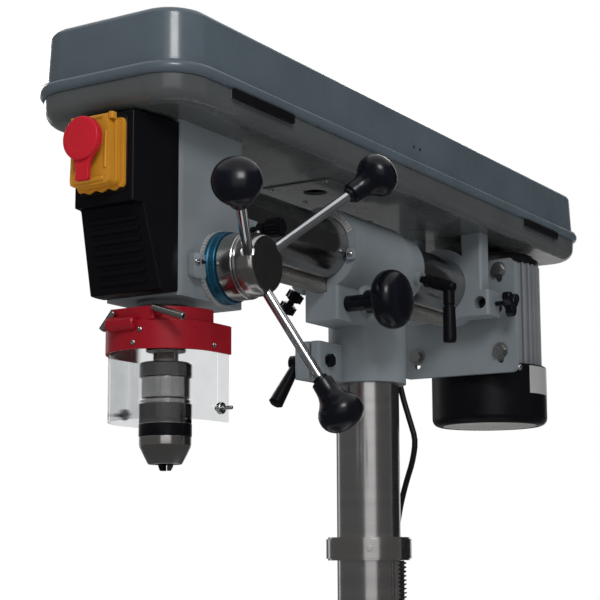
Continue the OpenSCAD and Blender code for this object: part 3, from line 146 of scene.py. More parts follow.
def face_out(piece):
    """Join doubled points and turn all faces outwards."""
    choose(piece)
    bpy.ops.object.mode_set(mode="EDIT")
    bpy.ops.mesh.select_all(action="SELECT")
    bpy.ops.mesh.remove_doubles(threshold=SAME_PLACE)
    bpy.ops.mesh.normals_make_consistent(inside=False)
    bpy.ops.object.mode_set(mode="OBJECT")


def apply_modifiers(piece):
    """Turn the modifiers of a piece into its mesh, first to last."""
    choose(piece)
    for modifier in list(piece.modifiers):
        bpy.ops.object.modifier_apply(modifier=modifier.name)


def soften(piece, width, segments=2):
    """Round the sharp edges of a piece and shade its flat and curved faces."""
    if width > 0:
        bevel = piece.modifiers.new("soft edges", "BEVEL")
        bevel.width = width * MM
        bevel.segments = segments
        bevel.limit_method = "ANGLE"
        bevel.angle_limit = radians(EDGE_ANGLE)
        bevel.use_clamp_overlap = True
        bevel.miter_outer = "MITER_ARC"
        apply_modifiers(piece)
    choose(piece)
    bpy.ops.object.shade_smooth_by_angle(angle=radians(SMOOTH_ANGLE))
    flats = piece.modifiers.new("flat faces stay flat", "WEIGHTED_NORMAL")
    flats.keep_sharp = True
    apply_modifiers(piece)
    return piece


print("edges sharper than", EDGE_ANGLE, "degrees are rounded")


# %% Moves that draw
def start_point(name, at):
    """Start a mesh as one selected point, at a place in metres, and stay in edit mode."""
    nothing_selected()
    bpy.ops.mesh.primitive_plane_add(size=0.01)
    piece = bpy.context.object
    piece.name = name
    bpy.ops.object.mode_set(mode="EDIT")
    bpy.ops.mesh.select_all(action="SELECT")
    bpy.ops.mesh.merge(type="CENTER")
    bpy.ops.mesh.select_all(action="SELECT")
    bpy.ops.transform.translate(value=at)
    return piece


def draw_on(step):
    """Extrude what is selected by a step in metres."""
    bpy.ops.mesh.extrude_region_move(TRANSFORM_OT_translate={"value": step})


def swing_round(steps, angle, centre=(0, 0, 0)):
    """Spin the whole mesh round an upright axis; a negative angle turns anticlockwise."""
    bpy.ops.mesh.select_all(action="SELECT")
    bpy.ops.mesh.spin(steps=steps, angle=angle, center=centre, axis=(0, 0, 1))
    bpy.ops.object.mode_set(mode="OBJECT")


def poly_curve(name, points, closed=False):
    """A curve of straight steps through points in metres."""
    data = bpy.data.curves.new(name, "CURVE")
    data.dimensions = "3D"
    spline = data.splines.new("POLY")
    spline.points.add(len(points) - 1)
    for point, place in zip(spline.points, points):
        point.co = (*place, 1)
    spline.use_cyclic_u = closed
    piece = bpy.data.objects.new(name, data)
    bpy.context.collection.objects.link(piece)
    return piece


print("ready to draw from a single point")


# %% [markdown]
# Finishes come next. Real paint is never one flat colour: a casting has an orange
# peel skin and slightly cloudy colour, moulded plastic has a fine grain, and turned
# steel has grooves that run round it. Each finish is a Principled shader whose colour,
# roughness and bump are driven by noise on Object coordinates, so the pattern keeps
# its real size on every piece. What is the same all over sits on the shader itself.

# %% Start a finish
def blank_material(name):
    """A material with an empty node tree."""
    material = bpy.data.materials.new(name)
    material.use_nodes = True
    material.node_tree.nodes.clear()
    return material, material.node_tree


def new_finish(name, metallic=0.0, coat=0.0, coat_roughness=0.1, glint=0.2):
    """A material with one Principled shader; glint is how strongly its surface mirrors."""
    material, tree = blank_material(name)
    shader = tree.nodes.new("ShaderNodeBsdfPrincipled")
    output = tree.nodes.new("ShaderNodeOutputMaterial")
    tree.links.new(shader.outputs["BSDF"], output.inputs["Surface"])
    shader.inputs["Metallic"].default_value = metallic
    shader.inputs["Coat Weight"].default_value = coat
    shader.inputs["Coat Roughness"].default_value = coat_roughness
    if metallic == 0:
        shader.inputs["Specular IOR Level"].default_value = glint
    return material, tree, shader


print("ready to start finishes")


# %% Patterns for colour, gloss and bumps
def noise(tree, scale, detail=3.0, stretch=(1, 1, 1), offset=(0, 0, 0)):
    """Noise on Object coordinates, stretched where a grain runs one way."""
    place = tree.nodes.new("ShaderNodeTexCoord")
    mapping = tree.nodes.new("ShaderNodeMapping")
    mapping.inputs["Scale"].default_value = stretch
    mapping.inputs["Location"].default_value = offset
    texture = tree.nodes.new("ShaderNodeTexNoise")
    texture.inputs["Scale"].default_value = scale
    texture.inputs["Detail"].default_value = detail
    tree.links.new(place.outputs["Object"], mapping.inputs["Vector"])
    tree.links.new(mapping.outputs["Vector"], texture.inputs["Vector"])
    return texture.outputs["Fac"]


def spread(tree, value, low, high, from_low=0.3, from_high=0.7):
    """Stretch a noise value over a range."""
    node = tree.nodes.new("ShaderNodeMapRange")
    node.inputs["From Min"].default_value = from_low
    node.inputs["From Max"].default_value = from_high
    node.inputs["To Min"].default_value = low
    node.inputs["To Max"].default_value = high
    tree.links.new(value, node.inputs["Value"])
    return node.outputs["Result"]


def two_tone(tree, value, first, second):
    """Blend two colours by a value."""
    node = tree.nodes.new("ShaderNodeMix")
    node.data_type = "RGBA"
    node.inputs["A"].default_value = (*first, 1)
    node.inputs["B"].default_value = (*second, 1)
    tree.links.new(value, node.inputs["Factor"])
    return node.outputs["Result"]


def relief(tree, shader, layers):
    """Stack bumps on a shader: each layer is a height, its strength and its depth in mm."""
    last = None
    for height, strength, depth in layers:
        bump = tree.nodes.new("ShaderNodeBump")
        bump.inputs["Strength"].default_value = strength
        bump.inputs["Distance"].default_value = depth * MM
        tree.links.new(height, bump.inputs["Height"])
        if last:
            tree.links.new(last, bump.inputs["Normal"])
        last = bump.outputs["Normal"]
    tree.links.new(last, shader.inputs["Normal"])


print("ready to drive finishes by noise")


# %% Cloudy colour and uneven gloss
def shade(colour, factor):
    """A lighter or darker version of a colour."""
    return tuple(min(1.0, c * factor) for c in colour)


def cloudy_colour(tree, shader, pattern, colour, low, high):
    """Let a pattern shift the colour between a darker and a lighter shade."""
    tint = two_tone(tree, spread(tree, pattern, 0, 1), shade(colour, low), shade(colour, high))
    tree.links.new(tint, shader.inputs["Base Color"])


def uneven_gloss(tree, shader, pattern, gloss):
    """Let a pattern shift the roughness between two values."""
    tree.links.new(spread(tree, pattern, *gloss), shader.inputs["Roughness"])


print("darkest steel shade", shade((0.40, 0.388, 0.38), 0.88))


# %% Painted and moulded finishes
def painted(name, colour, gloss, skin, coat):
    """Paint on metal: cloudy colour, uneven gloss, and an orange peel skin with fine grain."""
    material, tree, shader = new_finish(name, coat=coat, coat_roughness=0.12)
    cloudy_colour(tree, shader, noise(tree, 14, 4), colour, 0.9, 1.1)
    uneven_gloss(tree, shader, noise(tree, 35, 3), gloss)
    relief(tree, shader, [(noise(tree, 90, 2), skin, 0.35), (noise(tree, 650, 2), skin * 0.6, 0.05)])
    return material


def moulded(name, colour, gloss, grain=0.2, glint=0.2):
    """Moulded plastic: fine even grain, with gloss that hands have polished unevenly."""
    material, tree, shader = new_finish(name, glint=glint)
    cloudy_colour(tree, shader, noise(tree, 25, 2), colour, 0.94, 1.06)
    uneven_gloss(tree, shader, noise(tree, 60, 3), gloss)
    relief(tree, shader, [(noise(tree, 1400, 2), grain, 0.04), (noise(tree, 60, 2), grain * 0.4, 0.15)])
    return material


print("ready to mix paints and plastics")


# %% Paints, plastics and rubbers of the drill
cast_paint = painted("grey cast paint", (0.150, 0.170, 0.184), gloss=(0.32, 0.46), skin=0.4, coat=0.1)
lid_paint = painted("dark lid paint", (0.064, 0.083, 0.098), gloss=(0.24, 0.34), skin=0.05, coat=0.25)
tray_paint = painted("tray paint", (0.058, 0.063, 0.064), gloss=(0.2, 0.3), skin=0.06, coat=0.5)
pale_plate = painted("blank plate", (0.30, 0.305, 0.30), gloss=(0.3, 0.4), skin=0.1, coat=0.1)
# The grille's pale colour is partly its own and partly painted light from below, which the lamps above don't
# give
grille_paint_with_painted_light = painted("pale fan grille", (0.40, 0.40, 0.39), gloss=(0.35, 0.5), skin=0.1, coat=0.0)
fan_alloy = painted("fan alloy", (0.32, 0.32, 0.31), gloss=(0.35, 0.5), skin=0.2, coat=0.0)
black_paint = painted("black paint", (0.0035, 0.0035, 0.005), gloss=(0.3, 0.45), skin=0.3, coat=0.1)
motor_paint = painted("silver motor paint", (0.150, 0.158, 0.168), gloss=(0.3, 0.42), skin=0.3, coat=0.1)
black_plastic = moulded("black plastic", (0.003, 0.003, 0.0045), gloss=(0.3, 0.44), glint=0.1)
knob_plastic = moulded("knob plastic", (0.003, 0.0034, 0.0060), gloss=(0.2, 0.3), grain=0.10)
red_plastic = moulded("red plastic", (0.40, 0.008, 0.018), gloss=(0.28, 0.4), grain=0.15)
# The guard's red is partly its own darker red and partly painted shade, darkened for the shade the hood
# hangs in under the head
guard_red_and_painted_shade = moulded("red guard plastic", (0.22, 0.004, 0.010), gloss=(0.24, 0.36), grain=0.2)
yellow_plastic = moulded("yellow plastic", (0.44, 0.19, 0.016), gloss=(0.32, 0.44), grain=0.2)
green_plastic = moulded("green plastic", (0.01, 0.16, 0.04), gloss=(0.25, 0.35))
cable_rubber = moulded("cable sheath", (0.0035, 0.0035, 0.005), gloss=(0.42, 0.55), grain=0.3)
belt_rubber = moulded("belt rubber", (0.018, 0.018, 0.018), gloss=(0.6, 0.75), grain=0.5)
print("paints, plastics and rubbers", len(bpy.data.materials))


# %% Turned and plain metal
def turned_steel(name, colour, along, gloss, depth=0.5):
    """Steel with tool grooves: the pattern only changes along the axis it was turned on."""
    material, tree, shader = new_finish(name, metallic=1.0)
    fine = [1.0 if k == along else 0.02 for k in range(3)]
    grooves = noise(tree, 900, 4, stretch=fine)
    bands = noise(tree, 60, 3, stretch=fine, offset=(0.3, 0.1, 0.7))
    cloudy_colour(tree, shader, bands, colour, 0.88, 1.08)
    uneven_gloss(tree, shader, noise(tree, 9, 4, offset=(0.2, 0.5, 0.1)), gloss)
    relief(tree, shader, [(grooves, depth, 0.02), (bands, depth * 0.5, 0.03)])
    return material


def bare_metal(name, colour, gloss=(0.18, 0.3), skin=0.2):
    """Metal without a grain direction: cast, rolled, blackened or plated."""
    material, tree, shader = new_finish(name, metallic=1.0)
    cloudy_colour(tree, shader, noise(tree, 30, 3), colour, 0.9, 1.08)
    uneven_gloss(tree, shader, noise(tree, 50, 3), gloss)
    relief(tree, shader, [(noise(tree, 400, 2), skin, 0.02)])
    return material


print("ready to mix metals")


# %% Metals of the drill
STEEL = (0.40, 0.388, 0.38)
column_steel = turned_steel("column steel", (0.40, 0.392, 0.388), along=2, gloss=(0.15, 0.25))
ram_steel = turned_steel("ram steel", (0.40, 0.39, 0.385), along=1, gloss=(0.12, 0.22), depth=0.25)
steel_up = turned_steel("steel turned upright", STEEL, along=2, gloss=(0.13, 0.23), depth=0.35)
steel_across = turned_steel("steel turned across", STEEL, along=0, gloss=(0.16, 0.28), depth=0.35)
plain_steel = bare_metal("plain steel", STEEL)
grey_steel = turned_steel("blackened turned steel", (0.105, 0.098, 0.096), along=2, gloss=(0.16, 0.28))
rack_steel = bare_metal("milled rack steel", (0.50, 0.485, 0.46), gloss=(0.4, 0.55))
dark_steel = bare_metal("blackened steel", (0.035, 0.032, 0.03), gloss=(0.26, 0.4))
chrome = bare_metal("chrome", (0.48, 0.49, 0.51), gloss=(0.05, 0.12), skin=0.05)
zinc = bare_metal("zinc plate", (0.40, 0.40, 0.39), gloss=(0.2, 0.34))
cast_alloy = bare_metal("cast alloy", (0.42, 0.42, 0.43), gloss=(0.3, 0.45), skin=0.4)
print("metal finishes", [m.name for m in (column_steel, ram_steel, chrome, zinc, cast_alloy)])


# %% The blue scale ring and the clear shield
def scale_ring_finish():
    """Blue anodised ring, a little worn on its skin."""
    material, tree, shader = new_finish("blue anodised ring", metallic=0.6)
    worn = spread(tree, noise(tree, 40, 4), 0, 1)
    tint = two_tone(tree, worn, (0.004, 0.055, 0.105), (0.008, 0.085, 0.150))
    tree.links.new(tint, shader.inputs["Base Color"])
    uneven_gloss(tree, shader, noise(tree, 80, 2), (0.25, 0.38))
    relief(tree, shader, [(noise(tree, 900, 2), 0.2, 0.02)])
    return material


def clear_finish():
    """Clear plastic, slightly scuffed, that lets light through."""
    material, tree, shader = new_finish("clear plastic", coat=0.5, coat_roughness=0.06)
    shader.inputs["Transmission Weight"].default_value = 1.0
    shader.inputs["IOR"].default_value = 1.03
    shader.inputs["Alpha"].default_value = 0.55
    scuffs = spread(tree, noise(tree, 45, 5), 0.0, 1.0, 0.45, 0.75)
    tint = two_tone(tree, scuffs, (0.50, 0.52, 0.53), (0.42, 0.44, 0.45))
    tree.links.new(tint, shader.inputs["Base Color"])
    uneven_gloss(tree, shader, noise(tree, 30, 4), (0.02, 0.10))
    relief(tree, shader, [(noise(tree, 20, 2), 0.08, 0.3)])
    return material


scale_blue = scale_ring_finish()
clear_plastic = clear_finish()
print("blue ring and clear shield are ready")


# %% [markdown]
# A studio for a machine is a pale floor and large soft lamps. The lamps give about as
# much light as a white card needs to look white, so a colour renders about as it is
# written. Rays from the camera, and from gloss and clear plastic, see the world as
# plain white. The floor looks almost white to the camera but keeps a soft shadow.
# Polished steel and black plastic need something dark to mirror, or they look like
# chalk, so a few dark screens stand round the machine where only gloss can see them.

# %% Floor
FLOOR_GLOW = 0.72


def studio_floor():
    """A wide pale floor under the base."""
    bpy.ops.mesh.primitive_plane_add(size=14, location=(0, 0, -0.0006))
    floor = bpy.context.object
    floor.name = "studio_floor"
    fix_place(floor)
    material, tree = blank_material("pale floor")
    paper = tree.nodes.new("ShaderNodeBsdfDiffuse")
    paper.inputs["Color"].default_value = (0.86, 0.86, 0.86, 1)
    glow = tree.nodes.new("ShaderNodeEmission")
    glow.inputs["Color"].default_value = (1, 1, 1, 1)
    path = tree.nodes.new("ShaderNodeLightPath")
    share = tree.nodes.new("ShaderNodeMath")
    share.operation = "MULTIPLY"
    share.inputs[1].default_value = FLOOR_GLOW
    mix = tree.nodes.new("ShaderNodeMixShader")
    output = tree.nodes.new("ShaderNodeOutputMaterial")
    tree.links.new(path.outputs["Is Camera Ray"], share.inputs[0])
    tree.links.new(share.outputs[0], mix.inputs["Fac"])
    tree.links.new(paper.outputs["BSDF"], mix.inputs[1])
    tree.links.new(glow.outputs["Emission"], mix.inputs[2])
    tree.links.new(mix.outputs["Shader"], output.inputs["Surface"])
    floor.data.materials.append(material)


studio_floor()
print("the floor glows by", FLOOR_GLOW, "for the camera")


# %% World
WORLD_STRENGTH = 0.55


def studio_world(strength):
    """White to the camera, to gloss and through clear plastic; softer as a light."""
    world = bpy.data.worlds.new("studio world")
    bpy.context.scene.world = world
    world.use_nodes = True
    tree = world.node_tree
    tree.nodes.clear()
    path = tree.nodes.new("ShaderNodeLightPath")
    seen = path.outputs["Is Camera Ray"]
    for ray in ("Is Glossy Ray", "Is Transmission Ray"):
        either = tree.nodes.new("ShaderNodeMath")
        either.operation = "MAXIMUM"
        tree.links.new(seen, either.inputs[0])
        tree.links.new(path.outputs[ray], either.inputs[1])
        seen = either.outputs[0]
    soft = tree.nodes.new("ShaderNodeBackground")
    soft.inputs["Strength"].default_value = strength
    white = tree.nodes.new("ShaderNodeBackground")
    white.inputs["Color"].default_value = (1, 1, 1, 1)
    soft.inputs["Color"].default_value = (1, 1, 1, 1)
    mix = tree.nodes.new("ShaderNodeMixShader")
    output = tree.nodes.new("ShaderNodeOutputWorld")
    tree.links.new(seen, mix.inputs["Fac"])
    tree.links.new(soft.outputs[0], mix.inputs[1])
    tree.links.new(white.outputs[0], mix.inputs[2])
    tree.links.new(mix.outputs[0], output.inputs["Surface"])


studio_world(WORLD_STRENGTH)
print("world strength as a light", WORLD_STRENGTH)


# %% Lamps
def soft_lamp(name, at, target, size, power):
    """A square area lamp that looks at a point."""
    bpy.ops.object.light_add(type="AREA", location=at)
    lamp = bpy.context.object
    lamp.name = name
    lamp.rotation_euler = (Vector(target) - Vector(at)).to_track_quat("-Z", "Y").to_euler()
    lamp.data.size = size
    lamp.data.energy = power


soft_lamp("key lamp", (2.2, -2.6, 2.5), (0, -0.1, 0.6), 1.1, 78)
soft_lamp("left lamp", (-2.3, 1.2, 2.0), (0, 0, 0.6), 1.2, 26)
soft_lamp("rear lamp", (-1.3, 2.5, 2.1), (0, 0, 0.6), 1.2, 26)


# %% Dark screens that only gloss sees
CARD_RADIUS, CARD_HEIGHT, CARD_LOW = 3.4, 4.0, -0.2


def for_gloss_only(screen, tone):
    """Give a screen its grey and hide it from everything but glossy surfaces."""
    material, tree = blank_material(screen.name)
    cloth = tree.nodes.new("ShaderNodeEmission")
    cloth.inputs["Color"].default_value = (tone, tone, tone, 1)
    output = tree.nodes.new("ShaderNodeOutputMaterial")
    tree.links.new(cloth.outputs["Emission"], output.inputs["Surface"])
    screen.data.materials.append(material)
    screen.visible_camera = screen.visible_diffuse = screen.visible_shadow = False
    screen.visible_transmission = screen.visible_volume_scatter = False


def dark_card(name, start, end, tone):
    """A curved dark screen round the machine that only glossy surfaces see."""
    edge = (CARD_RADIUS * cos(radians(start)), CARD_RADIUS * sin(radians(start)), CARD_LOW)
    card = start_point(name, edge)
    draw_on((0, 0, CARD_HEIGHT))
    swing_round(16, radians(start - end))
    for_gloss_only(card, tone)


def dark_mat(inner, outer, tone):
    """A dark ring on the floor that only glossy surfaces see."""
    nothing_selected()
    bpy.ops.mesh.primitive_circle_add(vertices=48, radius=inner, fill_type="NOTHING",
                                      location=(0, 0, 0.001))
    mat = bpy.context.object
    mat.name = "dark_mat"
    fix_place(mat)
    bpy.ops.object.mode_set(mode="EDIT")
    bpy.ops.mesh.select_all(action="SELECT")
    bpy.ops.mesh.extrude_region_move()
    bpy.ops.transform.resize(value=(outer / inner, outer / inner, 1))
    bpy.ops.object.mode_set(mode="OBJECT")
    for_gloss_only(mat, tone)


# Screens by direction, in degrees anticlockwise from the machine's right side, and tone
for start, end, tone in [(-34, 31, 0.13), (32, 88, 0.03), (-191, -74, 0.15), (110, 158, 0.16)]:
    dark_card(f"dark_card_{start}", start, end, tone)
dark_mat(0.45, 3.3, 0.10)
bpy.context.scene.view_settings.view_transform = "Standard"


# %% [markdown]
# The mains cord is settled before anything else on the drill: it leaves a gland under
# the arm, hangs down behind the column with a lazy bow, reaches the bench and is wound
# into a neat coil behind the base, where the column hides it. The coil winds inwards
# on the bench and outwards on top.

# %% Cord route
CORD_ROUTE = [
    (10, 54, 660), (10, 54, 645), (13, 54.5, 625), (18, 55, 603), (25, 56, 579),
    (31, 57, 555), (27, 58, 531), (18, 60, 508), (9, 63, 484), (-1, 70, 455),
    (-10, 79, 420), (-17, 89, 375), (-21, 99, 325), (-22, 108, 270), (-20, 117, 215),
    (-16, 127, 160), (-11, 138, 110), (-6, 149, 68), (-2, 160, 34), (2, 173, 12),
    (5, 188, 4.2), (6, 200, 3.5), (6, 208, 3.5),
]
CORD_R = 3.5


def smooth_route(points, count):
    """Smooth curve through route points, as the drawing makes it."""
    points = [Vector(p) for p in points]
    last = len(points) - 1
    result = []
    for i in range(last):
        a, b, c, d = points[max(0, i - 1)], points[i], points[i + 1], points[min(last, i + 2)]
        for k in range(count):
            t = k / count
            result.append(0.5 * (2 * b + (c - a) * t + (2 * a - 5 * b + 4 * c - d) * t * t
                                 + (3 * b - 3 * c + d - a) * t * t * t))
    return result + [points[last]]


cord_path = smooth_route(CORD_ROUTE, 3)
print("smoothed route points", len(cord_path))


# %% Coil and whole length
COIL_AT = (-40, 216)
COIL_R, COIL_PITCH, COIL_LIFT, COIL_TURNS, COIL_RINGS = 46, 7.7, 7.6, 4.25, 24


def coil_points():
    """Centre line of the stored coil, in on the bench and out on top."""
    half = COIL_TURNS * 180
    result = []
    for i in range(int(COIL_TURNS * COIL_RINGS) + 1):
        a = 360 * i / COIL_RINGS
        r = COIL_R - COIL_PITCH * (half - abs(a - half)) / 360
        rise = min(1, max(0, (a - half + 90) / 180))
        height = CORD_R + COIL_LIFT * rise * rise * (3 - 2 * rise)
        x, y = COIL_AT[0] + r * cos(radians(a)), COIL_AT[1] + r * sin(radians(a))
        result.append(Vector((x, y, height)))
    return result


coil = coil_points()
coil_end = coil[-1]
lead_in = [Vector((COIL_AT[0] + COIL_R, COIL_AT[1] - 4, CORD_R))]
lead_out = [coil_end + Vector((-12, 0, 0)), coil_end + Vector((-30, 0, 0))]
cord_line = cord_path + lead_in + coil + lead_out


# %% Cord
mains_lead = poly_curve("mains_lead", [place * MM for place in cord_line])
mains_lead.data.bevel_depth = CORD_R * MM
mains_lead.data.bevel_resolution = 4
mains_lead.data.use_fill_caps = True
mains_lead.data.materials.append(cable_rubber)
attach(mains_lead, "base")
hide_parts("mains_cord", "cord_coil")
print("cord points", len(cord_line))


# %% [markdown]
# Most parts of the drill are castings and turned parts whose shape the drawing already
# holds exactly. A copy of the CAD mesh is joined up, because its triangles come loose,
# and then its sharp edges are rounded: a casting has generous edges, a machined part
# only a small chamfer. This catches light along every edge, as on the real machine.

# %% Dress a CAD part
FLAT_WITHIN = 0.5


def body_of(node):
    """The name of the moving body that a CAD node belongs to."""
    return frame["nodes"][node].parent.name.split(":")[-1]


def give_finish(piece, finish):
    """Give a piece one finish all over."""
    piece.data.materials.clear()
    piece.data.materials.append(finish)


def finished(piece, body, finish, slot, *nodes):
    """Give a piece its finish and its moving body, and hide the nodes it stands for; the slot is not used.
    """
    give_finish(piece, finish)
    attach(piece, body)
    if nodes:
        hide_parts(*nodes)
    return piece


def rounded_copy(node, edge):
    """Copy a CAD node, join its loose triangles and round its edges."""
    nothing_selected()
    piece = bpy.data.objects.new(node + "_dressed", frame["nodes"][node].data.copy())
    bpy.context.collection.objects.link(piece)
    choose(piece)
    if piece.data.has_custom_normals:
        bpy.ops.mesh.customdata_custom_splitnormals_clear()
    bpy.ops.object.mode_set(mode="EDIT")
    bpy.ops.mesh.select_all(action="SELECT")
    bpy.ops.mesh.remove_doubles(threshold=2 * SAME_PLACE)
    bpy.ops.mesh.dissolve_limited(angle_limit=radians(FLAT_WITHIN))
    bpy.ops.object.mode_set(mode="OBJECT")
    return soften(piece, edge)


def dressed(node, finish, slot, edge):
    """A rounded copy of a CAD node with its finish, on the node's own body."""
    return finished(rounded_copy(node, edge), body_of(node), finish, slot, node)


print("CAD nodes to dress", len(frame["nodes"]))


# %% [markdown]
# Some parts deserve their own model, because the real ones have soft turned or pressed
# shapes that a plain solid only hints at. Two helpers make most of them. A turned part
# is drawn as half a section, point by point, and spun round its axis. A plate is a flat
# outline with round corners that is filled and pushed up.

# %% Turned parts
def place_turned(piece, centre, direction):
    """Turn a part that was drawn along +Z into its real direction and place."""
    turn = Vector((0, 0, 1)).rotation_difference(Vector(direction)).to_matrix().to_4x4()
    piece.matrix_world = Matrix.Translation(Vector(centre) * MM) @ turn
    fix_place(piece)


def turned(name, section, centre, direction=(0, 0, 1), steps=64, edge=0.4):
    """Spin half a section, given as radius and height pairs in mm, into a solid part."""
    piece = start_point(name, (section[0][0] * MM, 0, section[0][1] * MM))
    for (r0, z0), (r1, z1) in zip(section, section[1:]):
        draw_on(((r1 - r0) * MM, 0, (z1 - z0) * MM))
    swing_round(steps, 2 * pi)
    face_out(piece)
    place_turned(piece, centre, direction)
    return soften(piece, edge)


def round_bar(name, radius, low, high, centre, direction=(0, 0, 1), steps=64, edge=0.0):
    """A plain pin, or the tool for a bore, between two heights along its own axis."""
    section = [(0, low), (radius, low), (radius, high), (0, high)]
    return turned(name, section, centre, direction, steps, edge)


print("ready to spin turned parts")


# %% Plates and blocks
def round_plate(name, width, depth, corner, segments=8):
    """A flat face with round corners in the XY plane, centred on the origin, in mm."""
    nothing_selected()
    bpy.ops.mesh.primitive_plane_add(size=1)
    piece = bpy.context.object
    piece.name = name
    piece.scale = (width * MM, depth * MM, 1)
    fix_place(piece)
    bpy.ops.object.mode_set(mode="EDIT")
    bpy.ops.mesh.select_all(action="SELECT")
    if corner > 0:
        bpy.ops.mesh.bevel(offset=corner * MM, segments=segments, affect="VERTICES")
    bpy.ops.mesh.select_all(action="SELECT")
    return piece


def push_up(height):
    """Extrude the selected face upwards."""
    draw_on((0, 0, height * MM))


def draw_in(thickness, height):
    """Inset the selected face and lift the new one."""
    bpy.ops.mesh.inset(thickness=thickness * MM, depth=height * MM)


def plate(name, size, corner, centre, direction=(0, 0, 1), edge=0.5):
    """A plate of a given width, depth and height that stands on its centre."""
    piece = round_plate(name, size[0], size[1], corner)
    push_up(size[2])
    bpy.ops.object.mode_set(mode="OBJECT")
    face_out(piece)
    place_turned(piece, centre, direction)
    return soften(piece, edge)


print("ready to push up plates with round corners")


# %% Plates with a drawn outline
def outline_plate(name, points, height):
    """A plate whose outline is drawn point by point in the XY plane, in mm."""
    piece = start_point(name, (points[0][0] * MM, points[0][1] * MM, 0))
    for (x0, y0), (x1, y1) in zip(points, points[1:]):
        draw_on(((x1 - x0) * MM, (y1 - y0) * MM, 0))
    bpy.ops.mesh.select_all(action="SELECT")
    bpy.ops.mesh.edge_face_add()
    bpy.ops.mesh.select_all(action="SELECT")
    push_up(height)
    bpy.ops.object.mode_set(mode="OBJECT")
    face_out(piece)
    return piece


print("ready to push up drawn outlines")


# %% Copies, joins and cuts
def copied(piece, name, matrix):
    """A copy with its own mesh, moved by a matrix."""
    twin = piece.copy()
    twin.data = piece.data.copy()
    twin.name = name
    bpy.context.collection.objects.link(twin)
    twin.matrix_world = matrix
    fix_place(twin)
    return twin


def joined(name, pieces):
    """Join several pieces into one."""
    nothing_selected()
    for piece in pieces:
        piece.select_set(True)
    bpy.context.view_layer.objects.active = pieces[0]
    bpy.ops.object.join()
    result = bpy.context.object
    result.name = name
    return result


def around(axis_point, axis, angle):
    """A matrix that turns things round an axis through a point in mm."""
    point = Vector(axis_point) * MM
    turn = Matrix.Rotation(radians(angle), 4, Vector(axis))
    return Matrix.Translation(point) @ turn @ Matrix.Translation(-point)


def cut_by(piece, tools):
    """Cut several tool shapes out of a piece, then remove the tools."""
    for tool in tools:
        cut = piece.modifiers.new("cut", "BOOLEAN")
        cut.operation = "DIFFERENCE"
        cut.solver = "EXACT"
        cut.object = tool
    apply_modifiers(piece)
    for tool in tools:
        bpy.data.objects.remove(tool)
    return piece


def print_size(label, piece):
    """Print the size of a piece in mm."""
    print(label, [round(v / MM, 1) for v in piece.dimensions])


print("ready to copy, join and cut")


# %% [markdown]
# The belt guard is two deep pressings. The lid has a rolled rim, walls that lean in a
# little and a tight bend into its flat top; the tray below it curves in to its floor.
# Both start as one rounded face that is drawn out step by step, each step a little
# further in, so that every bend follows the corners. A Solidify modifier then gives the
# sheet its thickness, and the tray gets its three holes with boolean cuts.

# %% Belt guard pressings
GUARD_HALF_W, GUARD_FRONT, GUARD_REAR, GUARD_CORNER = 96.5, 496, 458, 48
GUARD_MIDDLE = (GUARD_REAR - GUARD_FRONT) / 2


def pressing(name, inset, bottom, steps):
    """Draw a pressing from a rounded outline, step by step; steps are inset and height."""
    width = 2 * (GUARD_HALF_W - inset)
    depth = GUARD_FRONT + GUARD_REAR - 2 * inset
    piece = round_plate(name, width, depth, GUARD_CORNER - inset, segments=14)
    here_in, here_z = inset, bottom
    for step_in, step_z in steps:
        if abs(step_in - here_in) < SAME_PLACE:
            push_up(step_z - here_z)
        else:
            draw_in(step_in - here_in, step_z - here_z)
        here_in, here_z = step_in, step_z
    bpy.ops.object.mode_set(mode="OBJECT")
    piece.location = (0, GUARD_MIDDLE * MM, bottom * MM)
    fix_place(piece)
    return piece


print("belt guard is", GUARD_FRONT + GUARD_REAR, "mm long")


# %% From a pressing to sheet metal
def open_end(piece, z):
    """Delete the flat face of a closed pressing at one height, in mm."""
    choose(piece)
    bpy.ops.object.mode_set(mode="EDIT")
    bpy.ops.mesh.select_all(action="DESELECT")
    mesh = bmesh.from_edit_mesh(piece.data)
    for face in mesh.faces:
        face.select = all(abs(v.co.z - z * MM) < SAME_PLACE for v in face.verts)
    bmesh.update_edit_mesh(piece.data)
    bpy.ops.mesh.delete(type="FACE")
    bpy.ops.object.mode_set(mode="OBJECT")


def sheet_metal(piece, thickness):
    """Give an open pressing its sheet thickness, inwards."""
    face_out(piece)
    wall = piece.modifiers.new("sheet", "SOLIDIFY")
    wall.thickness = thickness * MM
    wall.offset = -1
    wall.use_even_offset = True
    apply_modifiers(piece)


print("ready to give a pressing its wall")


# %% Belt lid and its rolled rim
WALL_FOOT, WALL_TOP, LID_TOP = 861.4, 908, 915
WALL_IN, BEND_IN = 9.2, 6.6
RIM_IN, RIM_Z = 5, 856
wall = [(6, WALL_FOOT + 0.8), (6.6, WALL_FOOT + 2.1), (7.1, WALL_FOOT + 6.6), (WALL_IN, WALL_TOP)]
bend = [(WALL_IN + BEND_IN * (1 - cos(radians(a))), WALL_TOP + (LID_TOP - WALL_TOP) * sin(radians(a)))
        for a in range(15, 91, 15)]
lid = pressing("belt_guard_lid", 2, WALL_FOOT, wall + bend)
open_end(lid, WALL_FOOT)
sheet_metal(lid, 1.6)

